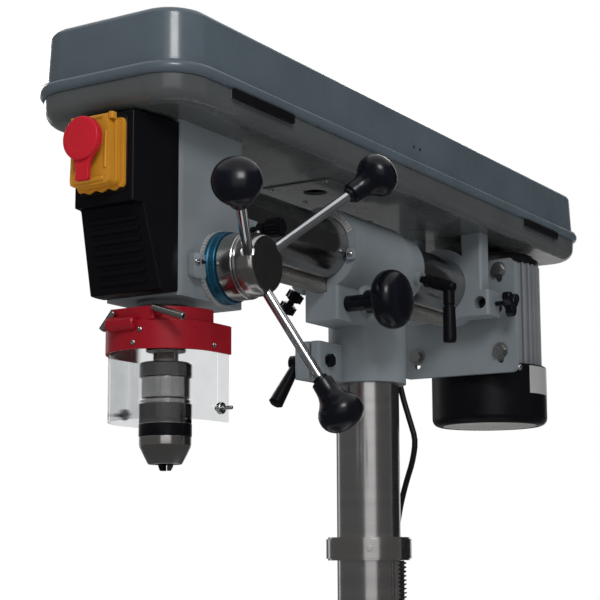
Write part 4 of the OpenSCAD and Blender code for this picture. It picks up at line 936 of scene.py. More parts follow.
# The rolled rim is a round bead that runs round the lid's lower edge
rim_path = round_plate("belt_guard_rim", 2 * (GUARD_HALF_W - RIM_IN),
                       GUARD_FRONT + GUARD_REAR - 2 * RIM_IN, GUARD_CORNER - RIM_IN, 14)
bpy.ops.object.mode_set(mode="OBJECT")
rim_outline = sorted([v.co.copy() for v in rim_path.data.vertices], key=lambda co: atan2(co.y, co.x))
bpy.data.objects.remove(rim_path)
rim_points = [(co.x, co.y + GUARD_MIDDLE * MM, RIM_Z * MM) for co in rim_outline]
rim = poly_curve("belt_guard_rim", rim_points, closed=True)
bpy.ops.curve.primitive_nurbs_circle_add(radius=1)
bead = bpy.context.object
bead.scale = (4.9 * MM, 5.9 * MM, 1)
fix_place(bead)
rim.data.bevel_mode = "OBJECT"
rim.data.bevel_object = bead
choose(rim)
bpy.ops.object.convert(target="MESH")
rim = bpy.context.object
bpy.data.objects.remove(bead)
face_out(rim)
lid = joined("belt_guard_lid", [lid, rim])
soften(lid, 0)
finished(lid, "belt_lid", lid_paint, "guard_paint", "belt_lid")
print("lid faces", len(lid.data.polygons))


# %% Belt tray
# The tray is drawn downwards from its rim, because each step has to be smaller than the last
TRAY_TOP, TRAY_BEND_Z, TRAY_SHEET = 849.8, 840, 2.0
tray_bend = [(21 - 15.4 * cos(radians(a)), TRAY_BEND_Z - 15 * sin(radians(a))) for a in range(15, 91, 15)]
tray = pressing("belt_guard_tray", 5, TRAY_TOP, [(5.6, TRAY_BEND_Z)] + tray_bend)
sheet_metal(tray, TRAY_SHEET)
SPINDLE_Y, MOTOR_Y, CABLE_Y = -388, 331, -114
FLOOR_CUT_LOW, FLOOR_CUT_HIGH = 820, 832


def floor_hole(radius, y, stretch=0.0):
    """A round tool, or a long one where stretch is given, that cuts the tray's floor."""
    tool = round_plate("hole", 2 * radius, 2 * radius + stretch, radius - 0.01, 16)
    push_up(FLOOR_CUT_HIGH - FLOOR_CUT_LOW)
    bpy.ops.object.mode_set(mode="OBJECT")
    tool.location = (0, y * MM, FLOOR_CUT_LOW * MM)
    fix_place(tool)
    face_out(tool)
    return tool


cut_by(tray, [floor_hole(26, SPINDLE_Y), floor_hole(30, MOTOR_Y - 7, 14), floor_hole(13.5, CABLE_Y)])
seats = [plate("hinge_seat", (4, 104, 9), 0.8, (90, y + 52, 840.9), edge=0.3) for y in (-412, 250)]
tray = joined("belt_guard_tray", [tray] + seats)
soften(tray, 0)
finished(tray, "ram", tray_paint, "tray_paint", "belt_tray")

# A stiffening plate with a cable hole, held by four screws under the tray
cable_plate = plate("cable_hole_plate", (88, 88, 1.6), 6, (0, CABLE_Y, 823.4))
cut_by(cable_plate, [floor_hole(13.5, CABLE_Y)])
soften(cable_plate, 0.3)
finished(cable_plate, "ram", tray_paint, "tray_paint")
print("tray faces", len(tray.data.polygons))


# %% [markdown]
# Screws and pins are small, but they tell the eye how big the machine is. One
# recipe makes a pan head with a cross slot, and each screw is turned a little differently.

# %% Small screws
def pan_screw(name, at, direction, radius=3.4, height=2.2, turn=0):
    """A pan head screw with a cross slot, seated on a surface at a point in mm."""
    section = [(0, -0.3), (radius, -0.3), (radius, height * 0.35)]
    section += [(radius * cos(radians(a)), height * (0.35 + 0.65 * sin(radians(a)))) for a in (25, 50, 72)]
    head = turned(name, section + [(0, height)], (0, 0, 0), steps=24, edge=0)
    slots = []
    for angle in (turn, turn + 90):
        slot = plate("slot", (radius * 1.3, radius * 0.24, height), 0, (0, 0, height * 0.55), edge=0)
        slot.matrix_world = Matrix.Rotation(radians(angle), 4, "Z")
        fix_place(slot)
        slots.append(slot)
    cut_by(head, slots)
    place_turned(head, at, direction)
    return soften(head, 0)


tray_screws = []
for sx in (-1, 1):
    for sy in (-1, 1):
        place = (sx * 36, CABLE_Y + sy * 36, 823.5)
        tray_screws.append(pan_screw("tray_screw", place, (0, 0, -1), turn=30 * sx + 10 * sy))
finished(joined("tray_screws", tray_screws), "ram", zinc, "chrome")
print("tray screws", len(tray_screws))


# %% [markdown]
# A black moulded cover closes the front of the head. Its outline is narrower in front,
# its lower half leans back, and seven soft ribs on that slope give the fingers a grip.
# The body is a plate with one boolean cut; a single rib is modelled and then copied.

# %% Head cover body
ACROSS, FORWARD, UP = (1, 0, 0), (0, -1, 0), (0, 0, 1)
COVER_LOW, COVER_HEIGHT = 660, 162


def facing_right(piece, at):
    """Stand a plate that was drawn in XY in the YZ plane, with its height towards +X."""
    turn = Matrix.Rotation(radians(90), 4, "Z") @ Matrix.Rotation(radians(90), 4, "X")
    piece.matrix_world = Matrix.Translation(Vector(at) * MM) @ turn
    fix_place(piece)
    return piece


cover_points = [(-44, -428), (-44, -440), (-34, -485), (34, -485), (44, -440), (44, -428), (-44, -428)]
cover = outline_plate("head_cover_body", cover_points, COVER_HEIGHT)
cover.location = (0, 0, COVER_LOW * MM)
fix_place(cover)
wedge_points = [(-500, 645), (-447.4, 645), (-473, 737), (-500, 737), (-500, 645)]
wedge = facing_right(outline_plate("wedge", wedge_points, 120), (-60, 0, 0))
cut_by(cover, [wedge, round_bar("bore", 9, -2, 10, (0, -476, 783.5), FORWARD, 48)])
soften(cover, 2.2, 3)
print_size("cover body", cover)


# %% Ribs on the cover's slope
COVER_SLOPE = Vector((0, -22, 79)).normalized()
COVER_OUT = Vector((0, -79, -22)).normalized()
RIB_COUNT, RIB_STEP = 7, 9.6
rib = plate("cover_rib", (56, 5, 4.2), 2.2, (0, 0, 0), tuple(COVER_OUT), edge=1.5)
ribs = []
for i in range(RIB_COUNT):
    foot = Vector((0, -451, 658)) + COVER_SLOPE * (12 + RIB_STEP * i) - COVER_OUT * 2
    ribs.append(copied(rib, "cover_rib_copy", Matrix.Translation(foot * MM)))
bpy.data.objects.remove(rib)
cover = joined("head_cover_body", [cover] + ribs)
soften(cover, 0)
finished(cover, "ram", black_plastic, "black_plastic", "head_cover")
print_size("cover", cover)


# %% [markdown]
# The safety switch is a moulded yellow box with a flap that must be lifted to start the
# motor. The flap is wider at its foot, has a bite out of its top edge for the finger and
# a raised lip below, and it carries a red mushroom with a pull tab that stops the drill
# when it is hit. The outlines are drawn point by point and mirrored about the middle.

# %% Outlines that face the operator
def facing_front(piece, y):
    """Stand a plate that was drawn in XY upright, with its height towards the operator."""
    piece.matrix_world = Matrix.Translation((0, y * MM, 0)) @ Matrix.Rotation(radians(90), 4, "X")
    fix_place(piece)
    return piece


def both_sides(half):
    """A closed outline from its right half, drawn bottom to top."""
    left = [(-x, z) for x, z in reversed(half)]
    return half + [p for p in left if abs(p[0]) > SAME_PLACE] + [half[0]]


print("a mirrored triangle has", len(both_sides([(0, 0), (1, 0), (0, 1)])), "points")


# %% Switch housing
SWITCH_Y = -485
SWITCH_LOW, SWITCH_HIGH = 748, 819
BUTTON_R, BUTTON_Z = 8.4, 769


def wave(z, depth, x_to, count):
    """A wavy bottom edge, from the middle to the side."""
    swings = [(i / count, 1 - cos(3 * pi * i / count)) for i in range(count + 1)]
    return [(x_to * along, z + depth * 0.5 * rise) for along, rise in swings]


housing_half = wave(SWITCH_LOW, 2.4, 22, 12) + [
    (25, SWITCH_LOW + 1.5), (27, SWITCH_LOW + 5), (27, SWITCH_HIGH - 9), (25.5, SWITCH_HIGH - 5),
    (21, SWITCH_HIGH - 4.2), (0, SWITCH_HIGH - 4.2)]
back = facing_front(outline_plate("switch_back", both_sides(housing_half), 5), SWITCH_Y)
rim_half = [(0, SWITCH_LOW + 4), (22, SWITCH_LOW + 4), (24, SWITCH_LOW + 6),
            (24, SWITCH_HIGH - 8), (22, SWITCH_HIGH - 6), (0, SWITCH_HIGH - 6)]
box = facing_front(outline_plate("switch_box", both_sides(rim_half), 7.2), SWITCH_Y - 4.8)
cut_by(box, [plate("well", (40, 46, 8), 3, (0, SWITCH_Y - 6.2, 781), FORWARD, edge=0)])
for part, seat_y in ((box, SWITCH_Y - 2), (back, SWITCH_Y)):
    cut_by(part, [round_bar("bore", BUTTON_R, -2, 12, (0, seat_y, BUTTON_Z), FORWARD)])
ears = [plate("switch_ear", (5, 7, 6), 1.2, (sx * 22, SWITCH_Y - 15, 811), edge=0) for sx in (-1, 1)]
for part in (back, box):
    soften(part, 0.8)
switch = joined("switch_box", [back, box] + ears)
soften(switch, 0)
finished(switch, "ram", yellow_plastic, "yellow_plastic", "switch_housing")
print_size("switch housing", switch)


# %% Gasket behind the switch
gasket = plate("switch_gasket", (56, 72.5, 1.2), 6, (0, SWITCH_Y + 0.1, 782.5), FORWARD, edge=0)
cut_by(gasket, [round_bar("bore", BUTTON_R, -2, 12, (0, SWITCH_Y + 4, BUTTON_Z), FORWARD)])
soften(gasket, 0.3)
finished(gasket, "ram", cable_rubber, "black_plastic")
print_size("gasket", gasket)


# %% Switch flap
FLAP_Y, STOP_Z = -497.3, 792
flap_half = [(0, 751), (12, 751), (19, 751.4), (22, 753), (22.9, 757), (22.4, 770), (21.6, 800), (21.4, 806),
             (20, 811), (17.6, 814), (15, 813.4), (12.8, 809), (9, 804.6), (4, 803), (0, 802.8)]
flap = facing_front(outline_plate("switch_flap_plate", both_sides(flap_half), 8), FLAP_Y)
cut_by(flap, [round_bar("bore", 10.3, -14, 14, (0, FLAP_Y, STOP_Z), FORWARD),
              plate("hollow", (40, 44, 5), 3, (0, FLAP_Y + 1, 779), FORWARD, edge=0)])
soften(flap, 1.1, 3)
lip = turned("flap_lip", [(0, -17.5), (1.6, -17.5), (2.4, -16.6), (2.4, 16.6), (1.6, 17.5), (0, 17.5)],
             (0, FLAP_Y - 8.2, 755.6), ACROSS, steps=20, edge=0.3)
ridge = [turned("flap_ridge", [(0, -18), (1.3, -18), (1.8, -17), (1.3, 16), (0, 17)],
                (sx * 18.6, FLAP_Y - 7.9, 783), UP, steps=16, edge=0) for sx in (-1, 1)]
barrel = turned("flap_barrel", [(0, -18.5), (2.4, -18.5), (2.9, -18), (2.9, 18), (2.4, 18.5), (0, 18.5)],
                (0, -500.5, 814), ACROSS, steps=24, edge=0)
web = plate("flap_web", (30, 4.6, 7), 0, (0, -500.3, 805), edge=0.2)
flap = joined("switch_flap_yellow", [flap, lip, barrel, web] + ridge)
soften(flap, 0)
finished(flap, "switch_flap", yellow_plastic, "yellow_plastic", "switch_flap")
print_size("flap", flap)


# %% Stop mushroom
STOP_R = 20.4


def stop_outline():
    """Teardrop of the mushroom: a disc that narrows into a pull tab."""
    turns = [radians(a) for a in range(35, 181, 8)]
    points = [(STOP_R * sin(a), STOP_Z - STOP_R * cos(a)) for a in turns]
    tab = [(0, 753.4), (6.4, 753.4), (7.6, 754.6), (7.4, 763), (8.2, 770)]
    return both_sides(tab + points)


disc_section = [(0, -2), (10, -2), (10, 5.5), (17, 6.2), (19.6, 7), (20.5, 8.6), (20.5, 12),
                (20, 13.6), (18.8, 14.5), (15, 14.9), (12.4, 14.9), (11.9, 14.5), (11.4, 14.9), (0, 15)]
disc = turned("stop_disc", disc_section, (0, -505.3, STOP_Z), FORWARD, steps=72, edge=0.25)
tab = facing_front(outline_plate("stop_tab", stop_outline(), 4.6), -511.6)
soften(tab, 1.0, 3)
stop = joined("stop_mushroom", [disc, tab])
soften(stop, 0)
finished(stop, "stop_button", red_plastic, "red_plastic", "stop_button")
print("stop mushroom reaches", round(min(v.co.y for v in stop.data.vertices) / MM, 1))


# %% [markdown]
# The chuck is keyless. Its body has a heavy ring on top, and the sleeve that the hand
# turns has a knurled steel band, a black grip ring and a bare cone. All of them are
# turned parts, so each is spun from half a section. The knurl is a round outline that
# goes in and out a little, drawn by a formula and pushed up.

# %% Chuck body
CHUCK_AT = (0, SPINDLE_Y, 0)
body_section = [(0, 549), (8, 549), (8, 527), (13.9, 527), (13.9, 567), (22.4, 567), (23, 567.6),
                (23, 586.2), (22.5, 587), (7.1, 587), (7.1, 576.5), (0, 576.5)]
chuck = turned("chuck_body_turned", body_section, CHUCK_AT, steps=72, edge=0.25)
finished(chuck, body_of("chuck_body"), steel_up, "steel", "chuck_body")
ring_section = [(7.2, 587.1), (24.2, 587.1), (24.8, 587.7), (24.8, 599.6), (23.8, 600.9),
                (14, 600.9), (13, 599.6), (7.2, 599.6), (7.2, 587.1)]
ring = turned("chuck_top_ring", ring_section, CHUCK_AT, steps=72, edge=0.3)
finished(ring, body_of("chuck_body"), grey_steel, "dark_steel")
print_size("chuck body", chuck)


# %% Chuck sleeve
cone_section = [(8.5, 505), (15.4, 505), (16.2, 505.5), (20.4, 513.5), (24.0, 521.0), (24.7, 523.4),
                (24.8, 530.6), (24.2, 531), (24.0, 531.4), (24.0, 562.2), (23.6, 562.4), (23.6, 565.4),
                (23.0, 566), (14.4, 566), (14.4, 526.7), (8.5, 526.7), (8.5, 505)]
sleeve = turned("chuck_sleeve_turned", cone_section, CHUCK_AT, steps=72, edge=0.2)
finished(sleeve, body_of("chuck_sleeve"), steel_up, "steel", "chuck_sleeve")
grip_section = [(23.9, 531.1), (24.7, 531.1), (25.2, 531.6), (25.2, 542.4), (24.7, 542.9),
                (23.9, 542.9), (23.9, 531.1)]
grip = turned("chuck_grip_ring", grip_section, CHUCK_AT, steps=72, edge=0.15)
finished(grip, body_of("chuck_sleeve"), black_plastic, "black_plastic")
print_size("chuck sleeve", sleeve)


# %% Knurled band
KNURL_R, KNURL_DEPTH, KNURL_TEETH, KNURL_LOW = 24.9, 0.55, 84, 543.4


def knurl_outline(radius, depth, teeth):
    """A round outline with small teeth."""
    angles = [pi * i / teeth for i in range(2 * teeth + 1)]
    radii = [radius - depth * (k % 2) for k in range(len(angles))]
    return [(r * cos(a), r * sin(a)) for r, a in zip(radii, angles)]


knurl = outline_plate("chuck_knurl", knurl_outline(KNURL_R, KNURL_DEPTH, KNURL_TEETH), 18.4)
knurl.location = (0, SPINDLE_Y * MM, KNURL_LOW * MM)
fix_place(knurl)
cut_by(knurl, [round_bar("bore", 23.8, 540, 565, CHUCK_AT)])
soften(knurl, 0)
finished(knurl, body_of("chuck_sleeve"), grey_steel, "dark_steel")
print("chuck pieces", [o.name for o in (chuck, ring, sleeve, grip, knurl)])


# %% [markdown]
# The chuck guard hangs on a pin at the front of its collar. Its red hood is a shell that
# is round in front and open behind: a deep band holds the clear shield, a shoulder steps
# in above it, and a shorter ring stands on the shoulder. A round knuckle crosses the
# front, two sprung pins leave it, and small pan head screws hold the band.

# %% Guard hood
def guard_shell(name, outer, inner, back, low, high):
    """A wall that is round in front, with straight sides up to its open back."""
    front = [radians(-6 * i) for i in range(31)]
    outside = [(outer * cos(a), outer * sin(a)) for a in front]
    inside = [(inner * cos(a), inner * sin(a)) for a in reversed(front)]
    points = [(outer, back)] + outside + [(-outer, back), (-inner, back)]
    points += inside + [(inner, back), (outer, back)]
    shell = outline_plate(name, points, high - low)
    shell.location = (0, SPINDLE_Y * MM, low * MM)
    fix_place(shell)
    return soften(shell, 0.7, 3)


BAND_R = 57.4
band = guard_shell("guard_band", BAND_R, 54.9, 27, 608, 635)
shoulder = guard_shell("guard_shoulder", 56.9, 49.6, 26, 632.8, 635.4)
crown = guard_shell("guard_crown", 53.6, 50.4, 3, 634.6, 648)
knuckle_section = [(0, -24), (5.6, -24), (7, -22.6), (7, 7), (5.8, 8.4), (0, 8.4)]
knuckle = turned("guard_knuckle", knuckle_section, (0, -445, 632.5), ACROSS, 40, 0.3)
bridge = plate("guard_bridge", (52, 12, 13), 2, (0, -436.5, 634.8), edge=1)
cut_by(bridge, [plate("gap", (29, 14, 16), 0, (0, -431, 633), edge=0)])
hinge_pin = round_bar("hinge_pin", 3, -29.5, 29.5, (0, -436, 641), ACROSS, 24, 0.2)
hood = joined("guard_hood_shell", [band, shoulder, crown, knuckle, bridge, hinge_pin])
soften(hood, 0)
# The hood's red carries painted shade as well as its own colour
finished(hood, body_of("guard_hood"), guard_red_and_painted_shade, "red_plastic", "guard_hood")
print_size("hood", hood)


# %% Guard pins and screws
def at_angle(axis_y, radius, degrees, z):
    """A point on a circle round an upright axis, and the direction outwards there."""
    outward = (cos(radians(degrees)), sin(radians(degrees)), 0)
    return (outward[0] * radius, axis_y + outward[1] * radius, z), outward


def guard_pin(name, start, end):
    """A rolled spring pin with a hollow end."""
    start, end = Vector(start), Vector(end)
    length = (end - start).length
    section = [(0, 0), (3.2, 0), (3.6, 0.6), (3.6, length - 0.6), (3.1, length),
               (1.8, length), (1.8, length - 4), (0, length - 4)]
    return turned(name, section, start, end - start, steps=32, edge=0)


pins = [guard_pin("pin_right", (27, -444, 645.4), (61, -443, 634)),
        guard_pin("pin_left", (-18, -445, 644.6), (-31, -446, 628.4))]
finished(joined("guard_pins", pins), body_of("guard_hood"), zinc, "chrome")
guard_screws = []
for degrees, z in ((-78, 626), (-85, 614), (-2, 613.8), (182, 613.8)):
    at, outward = at_angle(SPINDLE_Y, BAND_R, degrees, z)
    guard_screws.append(pan_screw("guard_screw", at, outward, radius=2.6, height=1.6, turn=degrees))
finished(joined("guard_screws", guard_screws), body_of("guard_hood"), zinc, "chrome")
print("guard pins and screws", len(pins), len(guard_screws))


# %% Thumbscrews of the clear shield
THUMB_X, THUMB_Y, THUMB_Z = 54.6, -378, 556
thumb_head = [(0, -3.5), (2, -3.5), (2, 0), (5.2, 0.2), (5.8, 1), (5.8, 4.2), (5.2, 5), (2.2, 5.2),
              (1.9, 6), (1.9, 15), (1.4, 15.6), (0, 15.6)]
thumbscrews = [turned("thumbscrew", thumb_head, (side * THUMB_X, THUMB_Y, THUMB_Z), (side, 0, 0),
                      steps=32, edge=0.3) for side in (-1, 1)]
finished(joined("guard_thumbscrews", thumbscrews), body_of("chuck_shield"), zinc, "chrome")
print("thumbscrews", len(thumbscrews))


# %% [markdown]
# The feed wheel is what the hand works all day. From the casting outwards there is a
# pale scale band, a blue ring, a brushed collar, a narrow groove and a steel hub that
# tapers to a flat face. Three rods lean outwards from small round recesses in the hub,
# and each carries a mushroom knob. One rod and one knob are spun, and the other two are
# turned copies.

# %% Blue ring, pale band and its marks
FEED_Y, FEED_Z = -360.5, 692
TICK_COUNT, LONG_EVERY = 60, 5
ring_section = [(8.4, 0), (34.9, 0), (35.5, 0.6), (35.5, 3.2), (34.9, 3.8), (34.4, 4.2),
                (34.4, 10.2), (33.8, 10.8), (8.4, 10.8), (8.4, 0)]
ring = turned("depth_scale_ring", ring_section, (49, FEED_Y, FEED_Z), ACROSS, 96, 0.2)
finished(ring, body_of("depth_ring"), scale_blue, "blue_scale", "depth_ring")
band = turned("depth_scale_band", [(35.4, 0), (36.5, 0), (36.5, 4.2), (35.4, 4.2), (35.4, 0)],
              (44.3, FEED_Y, FEED_Z), ACROSS, 96, 0.1)
finished(band, "ram", pale_plate, "blue_scale")
ticks = []
for i in range(TICK_COUNT):
    length = 3.4 if i % LONG_EVERY == 0 else 2.0
    tick = plate("tick", (length, 0.5, 0.25), 0, (48.3 - length / 2, FEED_Y, FEED_Z + 36.4), edge=0)
    turn = around((0, FEED_Y, FEED_Z), ACROSS, 360 / TICK_COUNT * i)
    ticks.append(copied(tick, "tick_copy", turn))
    bpy.data.objects.remove(tick)
finished(joined("depth_scale_ticks", ticks), "ram", black_paint, "blue_scale")
print("marks on the band", len(ticks))


# %% Collar and hub
COLLAR_X, HUB_X = 60.4, 60.3
ROD_ROOT_X, ROD_LEAN, ROD_PHASE, ROD_COUNT = 78, 28.8, 163, 3
collar_section = [(8.1, 0), (31.7, 0), (32.5, 0.8), (32.5, 16.4), (31.7, 17.4), (8.1, 17.4), (8.1, 0)]
collar = turned("feed_collar", collar_section, (COLLAR_X, FEED_Y, FEED_Z), ACROSS, 96, 0.3)
finished(collar, body_of("feed_hub"), steel_across, "steel")
hub_section = [(8.1, 17.5), (30.9, 17.5), (31.4, 18.1), (31.4, 19.1), (30.3, 19.6), (30.1, 20.4),
               (30.6, 21), (30.5, 26.5), (30.0, 30.4), (29.0, 33.6), (27.8, 36), (26.8, 37.3),
               (26, 37.7), (0, 37.7), (0, 24.2), (8.1, 24.2), (8.1, 17.5)]
hub = turned("feed_hub_turned", hub_section, (HUB_X, FEED_Y, FEED_Z), ACROSS, 96, 0.25)


def rod_place(i):
    """The place of one of the three rods, whose own axis is Z."""
    turn = Matrix.Rotation(radians(ROD_PHASE - 90 + 360 / ROD_COUNT * i), 4, "X")
    lean = Matrix.Rotation(radians(ROD_LEAN), 4, "Y")
    return Matrix.Translation(Vector((ROD_ROOT_X, FEED_Y, FEED_Z)) * MM) @ (turn @ lean)


def on_every_rod(name, piece):
    """Replace one piece, drawn along Z, by its copies on the three rods."""
    copies = [copied(piece, name, rod_place(i)) for i in range(ROD_COUNT)]
    bpy.data.objects.remove(piece)
    return copies


cut_by(hub, on_every_rod("rod_seat_copy", round_bar("rod_seat", 6.7, 30.5, 46, (0, 0, 0), steps=40)))
soften(hub, 0.2)
finished(hub, body_of("feed_hub"), steel_across, "chrome", "feed_hub")
grub = turned("feed_set_screw", [(0, -2), (2.4, -2), (2.4, 1.8), (1.6, 2.6), (0, 2.7)],
              (87, FEED_Y, FEED_Z + 30.1), UP, 24, 0)
finished(grub, body_of("feed_hub"), zinc, "chrome")
print_size("hub", hub)


# %% Feed rods and knobs
ROD_R = 5.0
rod_section = [(0, 12), (ROD_R, 12), (ROD_R, 128), (4.2, 129.5), (4.2, 156), (0, 156)]
rod = turned("feed_rod", rod_section, (0, 0, 0), steps=40, edge=0.25)
rods = on_every_rod("rod_copy", rod)
finished(joined("feed_rods", rods), body_of("feed_spokes"), chrome, "chrome", "feed_spokes")
mushroom = [(0, 126.8), (6.8, 126.8), (7.4, 127.4), (7.4, 130.4), (9.6, 130.8), (10.4, 131.8),
            (10.6, 138), (11.2, 143.4), (12.8, 148.2), (15.6, 152.4), (18.8, 155.8), (21.2, 159.6),
            (22.3, 163.8), (22.3, 168), (21.2, 172.2), (18.8, 176), (15, 179.4), (10.2, 181.6),
            (5, 182.6), (0, 182.9)]
knobs = on_every_rod("knob_copy", turned("feed_knob", mushroom, (0, 0, 0), steps=72, edge=0))
knob_group = joined("feed_knobs_round", knobs)
finished(knob_group, body_of("feed_knobs"), knob_plastic, "black_plastic", "feed_knobs")
print("rods and knobs", len(rods), len(knobs))


# %% [markdown]
# A large black mushroom knob on the side of the arm winds the ram in and out. It is
# moulded, so all of its edges are round. The drawing's knob would show flat facets from
# close by, so it is spun again from a section that follows the same profile.

# %% The knob that winds the ram in and out
ram_knob_section = [(7.1, 0), (9, 0), (9, 24.6), (9.4, 25.3), (12.4, 25.7), (13, 26.4), (13, 37.6),
                    (13.6, 38.8), (16.4, 40.2), (22, 41.8), (27, 44), (30.4, 47), (32.4, 51), (33, 56),
                    (32.6, 60.6), (31, 64.8), (28, 68.4), (24, 70.9), (18, 72.7), (10, 73.5), (0, 73.6),
                    (0, 38), (7.1, 38), (7.1, 0)]
ram_knob = turned("ram_knob_round", ram_knob_section, (22.3, -82, 699.1), ACROSS, 96, 0)
finished(ram_knob, body_of("ram_knob"), knob_plastic, "black_plastic", "ram_knob")
print_size("ram knob", ram_knob)


# %% [markdown]
# How deep the drill goes is read on the head's side, where a cast lug carries a small
# black pointer in front of the pale band. The pointer is a triangle of sheet, so it is
# drawn by its three corners.

# %% Depth stop lug and pointer on the head's side
lug = plate("stop_lug", (24, 20, 7), 4, (44.3, -404, 688), ACROSS, edge=0.6)
finished(lug, "ram", cast_paint, "casting")
pointer = outline_plate("depth_pointer", [(0, -2.2), (9, 0), (0, 2.2), (0, -2.2)], 0.8)
facing_right(pointer, (51.2, -402, 692))
soften(pointer, 0.1)
finished(pointer, "ram", black_paint, "black_metal")
lug_screw = pan_screw("lug_screw", (51.2, -409, 691), ACROSS, radius=3.6, height=2.2, turn=20)
finished(lug_screw, "ram", zinc, "chrome")
print_size("lug", lug)


# %% [markdown]
# The motor hangs at the rear. Its fan cover is a deep plastic cup with a round lower
# edge, and air comes in between slats in its floor. Behind the slats turns a light
# alloy fan. The cup is spun, and pale slats of decreasing length cross its opening.
# Their pale colour is partly their own and partly painted light, which stands in for
# the light that reaches them from below.

# %% Motor fan cover
MOTOR_AT = (0, MOTOR_Y, 0)
round_edge = [(66.5 + 10 * sin(radians(a)), 602 - 10 * cos(radians(a))) for a in range(10, 91, 16)]
cup_edge = [(65.5, 592)] + round_edge
cup_wall = [(8.1, 659), (73.5, 659), (73.5, 605), (71, 599), (66, 595.4), (62.5, 595), (62.5, 592)]
cup = turned("fan_cup", cup_wall + cup_edge + [(76.5, 668.2), (75.9, 669), (8.1, 669), (8.1, 659)],
             MOTOR_AT, steps=96, edge=0)
SLATS_EACH_SIDE, SLAT_STEP, GRILLE_R = 12, 5.0, 63.2
slats = []
for i in range(-SLATS_EACH_SIDE, SLATS_EACH_SIDE + 1):
    x = i * SLAT_STEP
    slat_length = 2 * sqrt(GRILLE_R ** 2 - x * x)
    slats.append(plate("slat", (2.3, slat_length, 2.6), 0, (x, MOTOR_Y, 592.2), edge=0.2))
slats.append(plate("slat_bridge", (124, 5, 2.0), 0, (0, MOTOR_Y, 593.6), edge=0.2))
soften(cup, 0)
finished(cup, body_of("motor_fan_cover"), black_plastic, "black_plastic", "motor_fan_cover")
# The slats get the grille finish, brightened with painted light from below
finished(joined("fan_grille", slats), body_of("motor_fan_cover"), grille_paint_with_painted_light, "motor_metal")
print("slats in the grille", len(slats) - 1)


# %% Motor fan
FAN_BLADES = 12
fan_parts = [round_bar("fan_disc", 60, 612, 614, MOTOR_AT, edge=0.3)]
for i in range(FAN_BLADES):
    blade = plate("fan_blade", (34, 1.6, 12), 0, (42, MOTOR_Y, 600), edge=0.2)
    fan_parts.append(copied(blade, "blade_copy", around(MOTOR_AT, UP, 360 / FAN_BLADES * i)))
    bpy.data.objects.remove(blade)
finished(joined("motor_fan", fan_parts), body_of("motor_rotor"), fan_alloy, "motor_metal")
print("blades on the fan", len(fan_parts) - 1)


# %% Blank plate and screw on the cup
# The plate is a thin strip bent round the cup, drawn as one upright edge and swung
corner = at_angle(MOTOR_Y, 76.6, -21, 631)[0]
rating = start_point("blank_motor_plate", tuple(v * MM for v in corner))
draw_on((0, 0, 36 * MM))
swing_round(14, radians(-44), (0, MOTOR_Y * MM, 0))
face_out(rating)
leaf = rating.modifiers.new("leaf", "SOLIDIFY")
leaf.thickness = 0.5 * MM
leaf.offset = 0
apply_modifiers(rating)
soften(rating, 0)
finished(rating, body_of("motor_fan_cover"), pale_plate, "motor_metal")
at, outward = at_angle(MOTOR_Y, 76.4, -33, 663)
cup_screw = pan_screw("cup_screw", at, outward, radius=4.2, height=2.6, turn=15)
finished(cup_screw, body_of("motor_fan_cover"), zinc, "chrome")
print_size("blank plate", rating)


# %% [markdown]
# Knobs and levers at the rear are black moulded plastic on steel studs. The star knob
# that holds the motor has lobes, so its outline is a circle whose radius swells three
# times. The lock lever is turned: a hexagon, a barrel across, and a grip with a neck.

# %% Star knob of the motor slide
def lobed_outline(radius, swell, lobes, count=72):
    """A round outline that swells a few times on the way round."""
    turns = [2 * pi * i / count for i in range(count + 1)]
    radii = [radius + swell * cos(lobes * t) for t in turns]
    return [(r * cos(t), r * sin(t)) for r, t in zip(radii, turns)]


STAR_X, STAR_Y, STAR_Z = 83, 212, 736
star = outline_plate("motor_star_knob", lobed_outline(13.6, 4.6, 3), 11)
place_turned(star, (STAR_X, STAR_Y, STAR_Z), ACROSS)
soften(star, 2.2, 4)
boss = turned("star_boss", [(0, -3), (6.5, -3), (7.5, 0), (7.5, 11), (6.6, 12.6), (0, 12.8)],
              (STAR_X, STAR_Y, STAR_Z), ACROSS, 40, 0.3)
stud = round_bar("star_stud", 3, 64.4, 84, (0, STAR_Y, STAR_Z), ACROSS, 24, 0.2)
star = joined("motor_star_knob", [star, boss, stud])
soften(star, 0)
finished(star, body_of("tension_screw"), knob_plastic, "black_plastic", "tension_screw")
print_size("star knob", star)


# %% Ram lock lever
LOCK_LEAN = 19
lock_way = Vector((cos(radians(LOCK_LEAN)), 0, -sin(radians(LOCK_LEAN))))
lock_root = (0, 49, 761)
hexagon = turned("lock_hexagon", [(0, 55.6), (7.0, 55.6), (7.6, 56.4), (7.6, 62.4), (7.0, 63.2), (0, 63.2)],
                 lock_root, lock_way, 6, 0.3)
stem = round_bar("lock_stem", 4, 37.6, 66, lock_root, lock_way, 32, 0.2)
barrel = turned("lock_barrel", [(0, 65), (6.4, 65), (7.4, 66.2), (7.4, 92), (6.2, 95), (3.8, 96), (0, 96)],
                lock_root, lock_way, 40, 0.4)
grip_top = Vector(lock_root) + lock_way * 88
grip_section = [(0, 0), (6.6, 0), (6.9, 21), (5.9, 22), (5.9, 23.4), (7.2, 24.2), (8.2, 60),
                (7.8, 64.6), (6.6, 66), (0, 66)]
grip = turned("lock_grip", grip_section, grip_top, (0, 0, -1), 40, 0.3)
lever = joined("ram_lock_lever_turned", [stem, hexagon, barrel, grip])
soften(lever, 0)
finished(lever, body_of("ram_lock_lever"), black_plastic, "black_plastic", "ram_lock_lever")
print_size("lock lever", lever)


# %% [markdown]
# The ram can be turned in the arm, and a curved scale on the arm's front face shows by
# how much. The scale is part of a flat ring, and every mark on it is a much narrower
# part of such a ring, so one outline helper serves for both. A small block with a screw
# beside the ram is the fixed marker.

# %% Tilt scale at the front of the arm
RAM_Z, ARM_FRONT = 761, -103
MARK_COUNT, MARK_START, MARK_STEP, MARK_WIDTH, LONG_MARK_EVERY = 14, 26, 5, 0.7, 3


